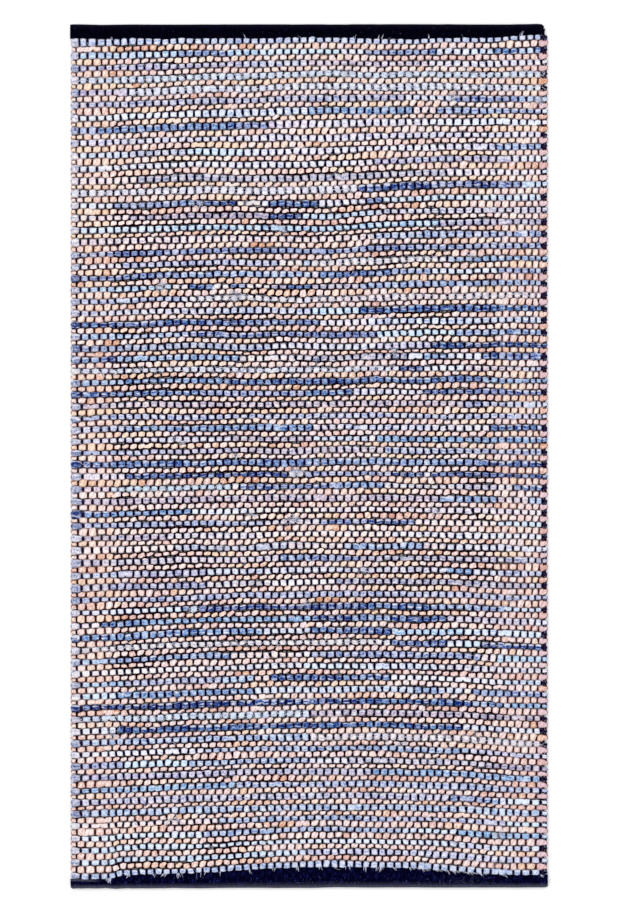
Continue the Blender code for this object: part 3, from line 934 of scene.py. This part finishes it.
def denim_material():
    """Torn denim in its washes, frayed, with painted shade in creases and where it turns into the gaps,
    and painted highlights on its rim and in small spots.
    """
    material, tree, shader = new_material("torn_denim", 0.92, 0.02)
    clear = place_group(tree, gap_shade_group, {
        "Line Start": 0.945, "Line Softness": 0.08, "Dip Dark": 0.0019, "Dip Clear": 0.0026,
        "Rounding": 0.10})
    on_strip = strand_map(tree)
    threads = noise(tree, on_strip, (100.0, 480.0), 3.0)
    own_wash = attribute_value(tree, "wash")
    across = attribute_value(tree, "across")
    wash = stirred(tree, own_wash, noise(tree, on_strip, 470.0, 3.0), 1.30)
    wash = calc(tree, "MULTIPLY_ADD", smooth_step(tree, threads, 0.50, 0.36), 0.18, wash)
    # Painted highlight: the strip is a little paler on its rim, away from the crown
    wash = calc(tree, "MULTIPLY_ADD", clear["Rim"], -0.06, wash)
    # Painted shade of a crease runs along the middle of the crushed strip in places
    crease_middle = stirred(tree, across, noise(tree, on_strip, (75.0, 130.0), 1.0), 1.6, 0.45)
    crease = smooth_step(tree, calc(tree, "ABSOLUTE", crease_middle), 0.26, 0.06)
    wash = calc(tree, "MULTIPLY_ADD", crease, 0.15, wash)
    color = ramp(tree, wash, (
        (0.00, srgb(255, 252, 255)), (0.16, srgb(238, 233, 248)), (0.32, srgb(210, 211, 236)),
        (0.47, srgb(186, 192, 225)), (0.62, srgb(152, 166, 208)), (0.76, srgb(116, 137, 190)),
        (0.88, srgb(54, 86, 156)), (1.00, srgb(14, 46, 120))))
    has_tint = level(tree, wash, 0.0, 0.4, 0.45, 1.0)
    tint = ramp(tree, attribute_value(tree, "tint"), (
        (0.0, (0.62, 0.92, 1.0, 1)), (0.35, (0.88, 0.97, 1.0, 1)), (0.7, (1.0, 0.94, 0.96, 1)),
        (1.0, (1.0, 0.83, 0.86, 1))))
    grey = ramp(tree, attribute_value(tree, "grey"), (
        (0.0, (0.86, 0.94, 1.0, 1)), (0.5, (0.99, 0.98, 1.0, 1)), (1.0, (1.0, 0.96, 0.85, 1))))
    color = mixed(tree, has_tint, color, tint, "MULTIPLY")
    color = mixed(tree, 1.0, color, grey, "MULTIPLY")
    # The pale reverse of the cloth shows along the foot side of the strand, more in some places
    foot_side = calc(tree, "MULTIPLY", across, -1.0)
    reverse_from = calc(tree, "MULTIPLY_ADD", attribute_value(tree, "reverse"), -0.75, 0.90)
    reverse = smooth_step(
        tree, stirred(tree, foot_side, threads, 1.3), reverse_from, calc(tree, "ADD", reverse_from, 0.16))
    color = mixed(tree, calc(tree, "MULTIPLY", reverse, 0.8), color, srgb(222, 224, 238))
    thread_mask = smooth_step(tree, threads, 0.54, 0.66)
    frayed = calc(tree, "MULTIPLY", thread_mask, attribute_value(tree, "fray"))
    color = mixed(tree, frayed, color, srgb(232, 234, 244))
    # Painted highlights: small near-white spots, fewer on the darker strips
    highlight_spots = smooth_step(tree, noise(tree, on_strip, 620.0, 1.0), 0.56, 0.68)
    highlight_share = level(tree, own_wash, 0.2, 0.8, 0.85, 0.22)
    color = mixed(tree, calc(tree, "MULTIPLY", highlight_spots, highlight_share), color, srgb(244, 246, 254))
    # Painted shade: the strip darkens through violet to near black where it turns down into the gap
    gap_shade_edge = level(tree, clear["Clear"], 0.35, 0.95)
    color = mixed(tree, gap_shade_edge, srgb(72, 50, 118), color)
    color = mixed(tree, clear["Clear"], srgb(9, 0, 30), color)
    tree.links.new(color, shader.inputs["Base Color"])
    twist = place_group(tree, twist_group, {"Ply Length": 0.0010, "Fibre Size": 0.0005, "Slant": 0.8})
    bump(tree, shader, calc(tree, "MULTIPLY_ADD", twist["Ply"], 0.4, threads), 0.6, 0.0006)
    return material


denim = denim_material()
picks_by_wash = sorted(denim_strands, key=lambda p: float(denim_strands[p]["wash"].mean()))
PALE_PICKS = 44
pale_picks = sorted(picks_by_wash[:PALE_PICKS])
blue_picks = sorted(picks_by_wash[PALE_PICKS:])
DENIM_SECTION = {"sides": 6, "squareness": 2.3, "girth": 0.018}
denim_pale = strand_piece(
    "denim_weft_pale", [denim_strands[pick] for pick in pale_picks], denim, **DENIM_SECTION)
denim_blue = strand_piece(
    "denim_weft_blue", [denim_strands[pick] for pick in blue_picks], denim, **DENIM_SECTION)
join_rug(denim_pale, "woven_ground")
join_rug(denim_blue, "woven_ground")


# Jute weft
# 69 picks of soft natural jute yarn, loosely spun, thrown in turn with the denim. It runs on from
# pick to pick round the edge like the denim, and swells where the warp is wide apart.
jute_rng = np.random.default_rng(37)

# Tan and orange stretches of the yarn: the pick, where they start and stop in millimetres
# from the left edge, and their tone from 0, cream, to 1, orange-brown
MARKED_JUTE = (
    (2, 40, 92, 0.75),
    (2, 172, 182, 0.7),
    (8, 60, 68, 0.85),
    (34, 180, 204, 0.9),
    (50, 22, 35, 0.75),
    (112, 130, 150, 0.7),
    (124, 306, 376, 0.62),
    (126, 449, 496, 0.62),
)
# How far the yarn tends from a pinkish cream, below 0, to a straw yellow
STRAW_ALONG = ((1, 18, 50, 84, 96, 139), (-0.12, 0.02, 0.10, 0.04, -0.22, -0.30))
jute_strands = []
for pick in range(2, PICKS + 1, 2):
    strand = whole_pick(pick, jute_rng)
    cell = strand.pop("cell").astype(int)
    cells = np.arange(ENDS // 2 + 1)
    tone = 0.27 + drift(jute_rng, cells, 5, 0.12) + jute_rng.normal(0, 0.12, len(cells))
    tone += np.where(jute_rng.random(len(cells)) < 0.06, 0.28, 0) + jute_rng.normal(0, 0.05)
    from_left = cells / cells.max() * RUG_WIDTH_MM
    for marked_pick, start, stop, shade in MARKED_JUTE:
        if marked_pick == pick:
            inside = (from_left >= start) & (from_left <= stop)
            tone[inside] = shade + jute_rng.normal(0, 0.06, inside.sum())
    straw = drift(jute_rng, cells, 4, 0.34) + jute_rng.normal(0, 0.22, len(cells))
    straw += np.interp(pick, *STRAW_ALONG) + jute_rng.normal(0, 0.14)
    straw = np.clip(straw, -0.25, 0.8)
    # The yarn is a little darker at the left edge; the last cell at the right is browner and greyer,
    # painted shade where the yarn rounds down at the edge
    tone[:EDGE_CELLS] += 0.07
    straw[:EDGE_CELLS] += 0.10
    tone[cell.max()] += 0.44
    straw[cell.max()] -= 0.5
    strand["tone"] = np.clip(tone, 0.02, 1.0)[cell]
    strand["straw"] = straw[cell]
    jute_strands.append(strand)


def jute_material():
    """Two-ply jute from cream to brown, with painted highlights in small specks, painted shade between
    its plies and on its rim, and a brick-red painted shade where it turns into the gaps.
    """
    material, tree, shader = new_material("natural_jute", 0.9, 0.02)
    clear = place_group(tree, gap_shade_group, {
        "Line Start": 0.94, "Line Softness": 0.10, "Dip Dark": 0.0016, "Dip Clear": 0.0022,
        "Rounding": 0.20})
    twist = place_group(tree, twist_group, {"Ply Length": 0.0047, "Fibre Size": 0.0005, "Slant": -0.75})
    tone = stirred(tree, attribute_value(tree, "tone"), twist["Fibre"], -1.1)
    # Painted highlights: small lighter specks over the yarn
    tone = stirred(tree, tone, noise(tree, strand_map(tree), 560.0, 1.0), -2.1)
    # Painted shade: the yarn is a little more orange on its rim, away from the crown
    tone = calc(tree, "MULTIPLY_ADD", clear["Rim"], 0.04, tone)
    color = ramp(tree, tone, (
        (0.0, srgb(255, 249, 248)), (0.25, srgb(254, 238, 233)), (0.5, srgb(248, 219, 207)),
        (0.75, srgb(236, 193, 168)), (1.0, srgb(206, 142, 100))))
    straw = attribute_value(tree, "straw")
    grey_share = calc(tree, "MAXIMUM", calc(tree, "MULTIPLY", straw, -1.0), 0.0)
    color = mixed(tree, grey_share, color, srgb(224, 204, 222))
    color = mixed(tree, calc(tree, "MAXIMUM", straw, 0.0), color, srgb(250, 227, 200))
    # Painted shade in the grooves between the plies
    ply_groove_shade = calc(tree, "POWER", calc(tree, "SUBTRACT", 1.0, twist["Ply"]), 3.0)
    color = mixed(tree, calc(tree, "MULTIPLY", ply_groove_shade, 0.42), color, srgb(206, 138, 116))
    # Painted shade: the yarn darkens through brick red to near black where it turns into the gap
    gap_shade_edge = level(tree, clear["Clear"], 0.45, 1.0)
    color = mixed(tree, gap_shade_edge, srgb(184, 88, 72), color)
    color = mixed(tree, clear["Clear"], srgb(28, 0, 14), color)
    tree.links.new(color, shader.inputs["Base Color"])
    bump(tree, shader, calc(tree, "MULTIPLY_ADD", twist["Ply"], 0.6, twist["Fibre"]), 0.6, 0.0007)
    return material


jute = jute_material()
JUTE_SECTION = {"sides": 6, "squareness": 2.2, "girth": 0.018}
jute_first = strand_piece("jute_weft_first", jute_strands[0::2], jute, **JUTE_SECTION)
jute_second = strand_piece("jute_weft_second", jute_strands[1::2], jute, **JUTE_SECTION)
join_rug(jute_first, "woven_ground")
join_rug(jute_second, "woven_ground")


# Loose threads
# White weft threads that have worked out of the torn denim, and fine hairs of jute. They lie singly
# and in small tangles on the face, and stray over the binding. Bits of lint cling to the binding.
TAPE_TOP = 0.0070
thread_rng = np.random.default_rng(53)


def loose_thread(x, y, height, heading, length, thickness, tone, curl=0.45, taper=0.4):
    """One limp thread that comes out of the cloth, lies over it and ends free."""
    steps = 6
    headings = heading + np.cumsum(thread_rng.normal(0, curl, steps))
    stride = length / steps
    along = np.concatenate(([0], np.cumsum(np.cos(headings)))) * stride
    up = np.concatenate(([0], np.cumsum(np.sin(headings)))) * stride
    share = np.linspace(0, 1, steps + 1)
    z = height + 0.0005 * np.sin(math.pi * share) - 0.0012 * (share == 0) - 0.0004 * (share == 1)
    x_limit, y_limit = HALF_WIDTH - 0.0006, HALF_LENGTH - 0.001
    xs, ys = np.clip(x + along, -x_limit, x_limit), np.clip(y + up, -y_limit, y_limit)
    return {
        "places": np.column_stack((xs, ys, z)),
        "half_width": thickness * (1 - taper * share),
        "half_height": min(thickness * 0.7, 0.00018),
        "tone": tone / 7,
        "band": tone,
    }


def drawn_thread(x, y, height, heading, lengths, thicknesses, tones, curl=0.45, taper=0.4):
    """One thread with its length, half thickness and tone drawn between their limits."""
    length = thread_rng.uniform(*lengths)
    thickness = thread_rng.uniform(*thicknesses)
    tone = int(thread_rng.integers(*tones))
    return loose_thread(x, y, height, heading, length, thickness, tone, curl, taper)


def crown_place(pick):
    """A random place on a pick's crown."""
    x = thread_rng.uniform(-0.246, 0.246)
    return x, row_at(row_middles, pick, x) + thread_rng.normal(0, 0.0015)


def sideways():
    """A heading more or less along the weft, to either side."""
    return thread_rng.choice((0.0, math.pi)) + thread_rng.normal(0, 0.45)


# Where the tangles are, in millimetres from the middle of the rug, with their radius and
# their number of threads
TANGLES = (
    (-12, -17, 6, 26), (-17, -66, 5, 20), (-134, 15, 5, 14), (-76, 2, 4, 10), (-60, -62, 4, 10),
    (-94, -95, 4, 10), (-120, -161, 4, 9), (-3, -156, 5, 12), (153, 376, 5, 16), (-114, 263, 6, 14),
    (-76, 168, 9, 26), (-154, 177, 8, 22), (239, 372, 6, 16), (200, -397, 6, 12), (-205, -292, 8, 10),
    (60, -120, 6, 12), (132, -58, 5, 10), (88, 110, 6, 10), (-30, 236, 6, 12), (170, 212, 5, 9),
    (-188, 330, 6, 9), (40, 402, 6, 10), (-140, -380, 7, 12), (96, -300, 6, 10), (210, -150, 5, 9),
)
denim_threads = []
for x_mm, y_mm, radius, number in TANGLES:
    for _ in range(number):
        x = (x_mm + thread_rng.normal(0, radius / 2)) / 1000
        y = (y_mm + thread_rng.normal(0, radius / 3)) / 1000
        length = thread_rng.uniform(0.004, 0.011)
        denim_threads.append(loose_thread(
            x, y, WEFT_TOP, sideways() + thread_rng.normal(0, 0.4), length,
            thread_rng.uniform(0.00013, 0.00026), int(thread_rng.integers(4, 8)), 0.7))
    # Torn slips of the strip itself stand up in the middle of a tangle
    for _ in range(number // 5):
        x = (x_mm + thread_rng.normal(0, radius / 3)) / 1000
        y = (y_mm + thread_rng.normal(0, radius / 5)) / 1000
        denim_threads.append(drawn_thread(
            x, y, WEFT_TOP, sideways(), (0.003, 0.007), (0.00035, 0.00065), (4, 8), 0.3))
# The white strips are frayed all along, and their threads hide part of the warp
for pick, *strips in MARKED_STRIPS:
    for start, stop, _ in (strip for strip in strips if strip[2] < 0.1):
        for from_left in np.arange(start + 4, stop - 4, 1.5):
            x = from_left / 1000 - HALF_WIDTH + thread_rng.normal(0, 0.001)
            if abs(x) < HALF_WIDTH - 0.004:
                y = row_at(row_middles, pick, x) + thread_rng.normal(0, 0.0012)
                denim_threads.append(drawn_thread(
                    x, y, WEFT_TOP, sideways(), (0.003, 0.008), (0.00012, 0.00034), (5, 8), 0.4))
# Single threads on the face, more in some zones than in others
thread_zones = drift(thread_rng, np.arange(PICKS + 1), 4, 1.0)
for pick in range(1, PICKS + 1, 2):
    for _ in range(int(np.clip(14 + 7 * thread_zones[pick], 5, 30))):
        x, y = crown_place(pick)
        denim_threads.append(drawn_thread(
            x, y, WEFT_TOP, sideways(), (0.003, 0.012), (0.00008, 0.00022), (1, 8)))

# Wisps from the first and last pick that lie over the binding: millimetres from the left
# edge, the number of threads and how far they lean to the right of straight out
TOP_WISPS = ((44, 2, -0.1), (296, 2, 0.0), (323, 4, 0.2), (375, 3, -0.3), (471, 3, 0.4), (180, 1, 0.0))
FOOT_WISPS = (
    (40, 6, 0.0), (63, 3, -0.3), (87, 3, 0.5), (98, 4, -0.7), (114, 4, 0.0), (140, 2, 0.2),
    (158, 2, -0.2), (190, 3, 0.2), (214, 3, 0.0), (238, 3, 0.0), (262, 2, 0.3), (290, 3, 0.2),
    (310, 4, 0.1), (325, 5, 0.3), (338, 4, 0.8), (357, 4, 0.8), (369, 4, 0.8), (383, 5, 0.8),
    (394, 6, 0.8), (402, 4, 0.9), (412, 5, 0.9), (420, 6, 1.0), (430, 4, 1.0), (452, 2, 0.6),
    (492, 4, 0.8),
)
for wisps, end, pick in ((TOP_WISPS, 1, 1), (FOOT_WISPS, -1, PICKS)):
    for from_left, number, lean in wisps:
        for _ in range(number):
            x = from_left / 1000 - HALF_WIDTH + thread_rng.normal(0, 0.0018)
            y = row_at(row_middles, pick, x) + end * 0.0022
            heading = end * (math.pi / 2 - lean) + thread_rng.normal(0, 0.22)
            denim_threads.append(drawn_thread(
                x, y, TAPE_TOP + 0.0005, heading, (0.0026, 0.0058), (0.00026, 0.00050), (4, 8),
                0.10, 0.75))
# Broader torn slips among them: millimetres from the left edge, half width and length
for from_left, wide, length in (
    (41.5, 0.0017, 0.0058), (43, 0.0012, 0.0052), (113.5, 0.0008, 0.0070), (321, 0.0009, 0.0052),
    (326, 0.0006, 0.0045),
):
    x = from_left / 1000 - HALF_WIDTH
    y = row_at(row_middles, PICKS, x) - 0.0015
    denim_threads.append(loose_thread(
        x, y, TAPE_TOP + 0.0006, -math.pi / 2, length, wide, 3, 0.12, 0.85))
# Lint on the tapes: the number of bits, the end, and the middle and spread of where they lie
for number, end, centre, spread in ((40, 1, 0.0, 0.14), (210, -1, 0.0, 0.15), (130, -1, 0.166, 0.016)):
    for _ in range(number):
        x = float(np.clip(thread_rng.normal(centre, spread), -0.245, 0.243))
        y = end * (HALF_LENGTH - thread_rng.uniform(0.002, 0.012))
        denim_threads.append(drawn_thread(
            x, y, TAPE_TOP + 0.0002, thread_rng.uniform(0, math.tau), (0.0003, 0.0011),
            (0.00006, 0.00012), (0, 3), 0.3))

HAIRS_A_PICK = 11
jute_hairs = []
for pick in range(2, PICKS + 1, 2):
    for _ in range(HAIRS_A_PICK):
        x, y = crown_place(pick)
        heading = sideways() + thread_rng.normal(0, 0.5)
        jute_hairs.append(drawn_thread(
            x, y, WEFT_TOP, heading, (0.003, 0.009), (0.00005, 0.00010), (0, 8), 0.5))


def thread_material(name, dusky, pale):
    """A matt thread, each one somewhere between its dusky and its pale colour."""
    material, tree, shader = new_material(name, 0.95, 0.05)
    twist = place_group(tree, twist_group, {"Ply Length": 0.0009, "Fibre Size": 0.0002, "Slant": 0.8})
    color = mixed(tree, attribute_value(tree, "tone"), dusky, pale)
    tree.links.new(color, shader.inputs["Base Color"])
    bump(tree, shader, twist["Ply"], 0.4, 0.0001)
    return material


denim_lint = strand_piece(
    "denim_loose_threads", denim_threads,
    thread_material("white_cotton_thread", srgb(136, 146, 200), srgb(240, 242, 255)), 3, 2.0, 0.0008)
jute_lint = strand_piece(
    "jute_loose_hairs", jute_hairs,
    thread_material("jute_hair", srgb(196, 132, 92), srgb(250, 226, 204)), 3, 2.0, 0.0005)
join_rug(denim_lint, "woven_ground")
join_rug(jute_lint, "woven_ground")


# Heading cords
# Three thicker cotton cords laid across the warp inside each folded tape, as the last of the weave
# before it was bound. Only their cut ends can be seen, at the open ends of the tapes.
CORD_INSETS = (0.0030, 0.0052, 0.0074)
cord_places = np.linspace(-0.2490, 0.2450, 60)
cords = []
for end in (-1, 1):
    for inset in CORD_INSETS:
        cord_y = np.full(len(cord_places), end * (HALF_LENGTH - inset))
        cords.append({
            "places": np.column_stack((cord_places, cord_y, np.full(len(cord_places), WARP_CUT_Z))),
            "half_width": 0.00100, "half_height": 0.0021, "dust": 0.0})
heading_cords = strand_piece(
    "heading_cords", cords, warp_material("cord_cotton", srgb(6, 4, 22), srgb(20, 18, 50), srgb(6, 4, 22)),
    6, 2.0, 0.0086)
join_rug(heading_cords, "woven_ground")


# Binding stitches
# Black sewing thread that whips each tape down along its inner edge, a little unevenly, with one
# stitch every four millimetres or so.
STITCH_STEP = 0.0042
# One stitch: the share of its lean, how far it lies beyond the tape's inner edge, and z
STITCH_POINTS = ((-1, -0.0011, 0.0056), (-0.6, -0.0005, 0.0068), (0.2, 0.0006, 0.00685), (1, 0.0017, 0.0062))
stitch_rng = np.random.default_rng(67)
sewing_thread = thread_material("black_sewing_thread", srgb(6, 6, 26), srgb(20, 20, 48))
for name, end, line in (("top", 1, 1), ("foot", -1, PICKS + 1)):
    stitches = []
    for x in np.arange(-0.2462, 0.2440, STITCH_STEP):
        x += stitch_rng.normal(0, 0.0003)
        edge = row_at(row_lines, line, x)
        lean = stitch_rng.normal(0.0007, 0.0002)
        places = [(x + lean * share, edge + end * out, z) for share, out, z in STITCH_POINTS]
        stitches.append({
            "places": np.array(places), "half_width": 0.00016, "half_height": 0.00014, "tone": 0.5,
            "band": len(stitches) % 8})
    seam = strand_piece("binding_stitches_" + name, stitches, sewing_thread, 4, 2.0, 0.001)
    join_rug(seam, "end_binding_" + name)


# Binding tapes
# One black cotton tape folded over each cut end and sewn down along its inner edge, which lies
# against the outermost denim pick. Each is a little narrower than the rug, as cut by hand.
TAPE_THICKNESS = 0.0009
TAPE_HIGH = 0.00635
TAPE_LOW = 0.00045
TAPE_COLUMNS = 150
TAPE_GAP = 0.0003
TAPE_DROOP = 0.0011
RIB_PITCH, THREAD_PITCH = 0.0011, 0.0008
CORNER_LENGTH = 0.003
# The ridge along the foot tape's inner edge, near its left end. The points of a tape's path are
# numbered from its upper inner edge: 0 to 6 above, 7 to 15 round the fold and 16 to 21 below.
RIDGE_POINTS = (0, 1, 2, 4, 6)
RIDGE_RISES = (0.0004, 0.0007, 0.0006, -0.0002, 0)
tape_rng = np.random.default_rng(41)


def tape_path(inner, outer, end, droop):
    """The tape's middle line as (y, z), from its upper inner edge round the fold to the lower."""
    radius = (TAPE_HIGH - TAPE_LOW) / 2
    centre = outer - end * (radius + TAPE_THICKNESS / 2)
    upper = [(inner, TAPE_HIGH - droop), (inner + end * 0.0008, TAPE_HIGH - droop * 0.75)]
    for share in np.linspace(0.2, 1.0, 5):
        upper.append((inner + (centre - inner) * share, TAPE_HIGH - droop * 0.5 * (1 - share) ** 2))
    fold = []
    for angle in np.linspace(75, -75, 9):
        turn = math.radians(angle)
        fold.append((centre + end * radius * math.cos(turn),
                     (TAPE_HIGH + TAPE_LOW) / 2 + radius * math.sin(turn)))
    lower = [(centre + (inner - centre) * share, TAPE_LOW) for share in np.linspace(0, 1.0, 6)]
    return np.array(upper + fold + lower)


def tape_mesh(name, end, left, right, rounded_left, rounded_right):
    """A closed folded strip: its middle line thickened both ways, column by column.

    The rub attribute is 1 where the cloth is worn dull, along the fold, and 0 elsewhere.
    """
    is_foot = end < 0
    xs = np.concatenate(([left], np.linspace(left + 0.002, right - 0.002, TAPE_COLUMNS), [right]))
    inner_wave = drift(tape_rng, xs, 0.012, 0.00018)
    outer_wave = drift(tape_rng, xs, 0.035, 0.00022) + drift(tape_rng, xs, 0.009, 0.00008)
    puff = drift(tape_rng, xs, 0.02, 0.00012)
    bulge = 0.0011 * ease(-xs, 0.03, 0.20) if is_foot else 0.0005 * ease(xs, -0.10, 0.05)
    lumps = drift(tape_rng, xs, 0.006, 0.00030) * ease(-xs, 0.17, 0.21) * is_foot
    ridge = ease(-xs, 0.215, 0.232) * is_foot
    pull = rounded_left * np.maximum(0, 1 - (xs - left) / CORNER_LENGTH) ** 2
    pull += rounded_right * np.maximum(0, 1 - (right - xs) / CORNER_LENGTH) ** 2
    inner = row_at(row_lines, PICKS + 1 if is_foot else 1, xs) - end * TAPE_GAP + inner_wave
    outer = end * (HALF_LENGTH - TAPE_GAP - pull + bulge + lumps) + outer_wave
    rub = []
    rings = []
    tape_v = []
    for index, x in enumerate(xs):
        path = tape_path(inner[index], outer[index], end, TAPE_DROOP)
        point = np.arange(len(path))
        path[:, 1] += puff[index] * np.interp(point, (0, 4, 10, 21), (0.2, 1, 0.3, 0))
        path[:, 1] += ridge[index] * np.interp(point, RIDGE_POINTS, RIDGE_RISES)
        wear_and_sheen = np.interp(point, (5, 8, 14, 16), (0, 0.8, 1, 0)) + 0.8 * ridge[index] * (point < 3)
        rub += wear_and_sheen.tolist() + [0.0] * len(path)
        along = np.gradient(path, axis=0)
        across = np.stack((-along[:, 1], along[:, 0]), axis=1)
        across /= np.linalg.norm(across, axis=1)[:, None]
        outside = path + across * TAPE_THICKNESS / 2 * end
        inside = path - across * TAPE_THICKNESS / 2 * end
        ring = np.concatenate((outside, inside[::-1]))
        rings.append(np.column_stack((np.full(len(ring), x), ring)))
        steps = np.linalg.norm(np.diff(ring, axis=0, append=ring[:1]), axis=1)
        tape_v.append(np.concatenate(([0], np.cumsum(steps))))
    count = len(rings[0])
    verts = np.concatenate(rings)
    faces = []
    uv = []
    span = xs[-1] - xs[0]
    girth = max(v[-1] for v in tape_v)
    for column in range(len(xs) - 1):
        for corner in range(count):
            after = (corner + 1) % count
            quad = ((column, corner), (column, after), (column + 1, after), (column + 1, corner))
            faces.append([c * count + k for c, k in quad])
            for c, k in quad:
                step = corner + 1 if k == after else corner
                uv.append(((xs[c] - xs[0]) / span, tape_v[c][step] / girth))
    faces.append(list(range(count)))
    faces.append([(len(xs) - 1) * count + k for k in range(count)][::-1])
    uv += [(0.0, 0.0)] * (2 * count)
    mesh = bpy.data.meshes.new(name)
    mesh.from_pydata(verts.tolist(), [], faces)
    uv = np.array(uv)
    for map_name, scale in (("OFBake", (1, 1)), ("tape_map", (span, girth))):
        layer = mesh.uv_layers.new(name=map_name)
        layer.data.foreach_set("uv", (uv * scale).ravel().astype(np.float32))
    mesh.attributes.new("rub", "FLOAT", "POINT").data.foreach_set("value", rub)
    mesh.polygons.foreach_set("use_smooth", [True] * len(faces))
    mesh.update()
    return mesh


def tape_material(name, black, wear_and_sheen, rubbed):
    """Black cotton tape with fine cross ribs, painted sheen in faint lighter streaks on its face and a
    dull worn fold.
    """
    material, tree, shader = new_material(name, 0.95, 0.02)
    on_tape = result(tree, "ShaderNodeUVMap", uv_map="tape_map")
    split = add_node(tree, "ShaderNodeSeparateXYZ", {0: on_tape}).outputs
    ribs = calc(tree, "SINE", calc(tree, "MULTIPLY", split["X"], math.tau / RIB_PITCH))
    picks = calc(tree, "SINE", calc(tree, "MULTIPLY", split["Y"], math.tau / THREAD_PITCH))
    # Painted sheen: faint lighter streaks across the tape's face
    sheen_streaks = noise(tree, on_tape, (420.0, 170.0), 4.0)
    face = mixed(tree, smooth_step(tree, sheen_streaks, 0.45, 0.8), black, wear_and_sheen)
    patchy = calc(tree, "MULTIPLY_ADD", sheen_streaks, 0.9, 0.5)
    dulled = calc(tree, "MULTIPLY", attribute_value(tree, "rub"), patchy)
    tree.links.new(mixed(tree, dulled, face, rubbed), shader.inputs["Base Color"])
    weave = calc(tree, "MULTIPLY", ribs, picks)
    bump(tree, shader, calc(tree, "MULTIPLY_ADD", sheen_streaks, 2.0, weave), 0.4, 0.0003)
    return material


# Each tape's colours come last: its black, the colour of its painted sheen streaks and that of its worn fold
for place, end, left, right, rounded, flat, black, wear_and_sheen, rubbed in (
    ("top", 1, -0.2500, 0.2458, (0.0005, 0.0022), (0.496, 0.033),
     srgb(0, 0, 9), srgb(8, 6, 30), srgb(16, 12, 32)),
    ("foot", -1, -0.2495, 0.2500, (0.0016, 0.0012), (0.4995, 0.037),
     srgb(0, 0, 22), srgb(22, 26, 84), srgb(76, 78, 96)),
):
    name = "binding_tape_" + place
    tape = bpy.data.objects.new(name, tape_mesh(name, end, left, right, *rounded))
    bpy.context.scene.collection.objects.link(tape)
    tape.data.materials.append(tape_material(name + "_cloth", black, wear_and_sheen, rubbed))
    join_rug(tape, "end_binding_" + place)


# Floor, light and camera
# A plain pale studio floor, an even white sky with one broad soft light, and a camera that looks
# straight down from far away.
floor_mesh = bpy.data.meshes.new("studio_floor")
FLOOR_HALF = 60
floor_corners = [(x * FLOOR_HALF, y * FLOOR_HALF, 0) for x, y in ((-1, -1), (1, -1), (1, 1), (-1, 1))]
floor_mesh.from_pydata(floor_corners, [], [(0, 1, 2, 3)])
floor = bpy.data.objects.new("studio_floor", floor_mesh)
bpy.context.scene.collection.objects.link(floor)
BELOW_RUG = 0.0003
floor.location.z = -BELOW_RUG
floor_material, floor_tree, floor_shader = new_material("pale_floor", 0.9, 0.1)
floor_shader.inputs["Base Color"].default_value = (0.97, 0.97, 0.97, 1.0)
floor_mesh.materials.append(floor_material)

world = bpy.data.worlds.new("even_white")
bpy.context.scene.world = world
world.use_nodes = True
world.node_tree.nodes["Background"].inputs["Color"].default_value = (1.0, 1.0, 1.0, 1.0)
world.node_tree.nodes["Background"].inputs["Strength"].default_value = 1.1

lamp = bpy.data.lights.new("broad_softbox", "AREA")
lamp.shape = "SQUARE"
lamp.size = 2.4
lamp.energy = 32.0
lamp_holder = bpy.data.objects.new("broad_softbox", lamp)
bpy.context.scene.collection.objects.link(lamp_holder)
lamp_holder.location = (-0.9, 1.1, 3.0)
aim = lamp_holder.location.copy()
aim.negate()
lamp_holder.rotation_euler = aim.to_track_quat("-Z", "Y").to_euler()

# The camera stands straight above the rug's face, where the picture's long side is SEEN_LENGTH
CAMERA_HEIGHT = 6.0
FACE_Z = 0.007
SEEN_LENGTH = 0.9636
SEEN_MIDDLE = (0.0037, -0.0047)
SENSOR = 36.0
camera_data = bpy.data.cameras.new("straight_down")
camera_data.sensor_width = SENSOR
camera_data.lens = SENSOR * CAMERA_HEIGHT / SEEN_LENGTH
camera_data.clip_end = 200.0
camera = bpy.data.objects.new("straight_down", camera_data)
bpy.context.scene.collection.objects.link(camera)
camera.location = (*SEEN_MIDDLE, CAMERA_HEIGHT + FACE_Z)
bpy.context.scene.camera = camera
bpy.context.scene.view_settings.view_transform = "Standard"
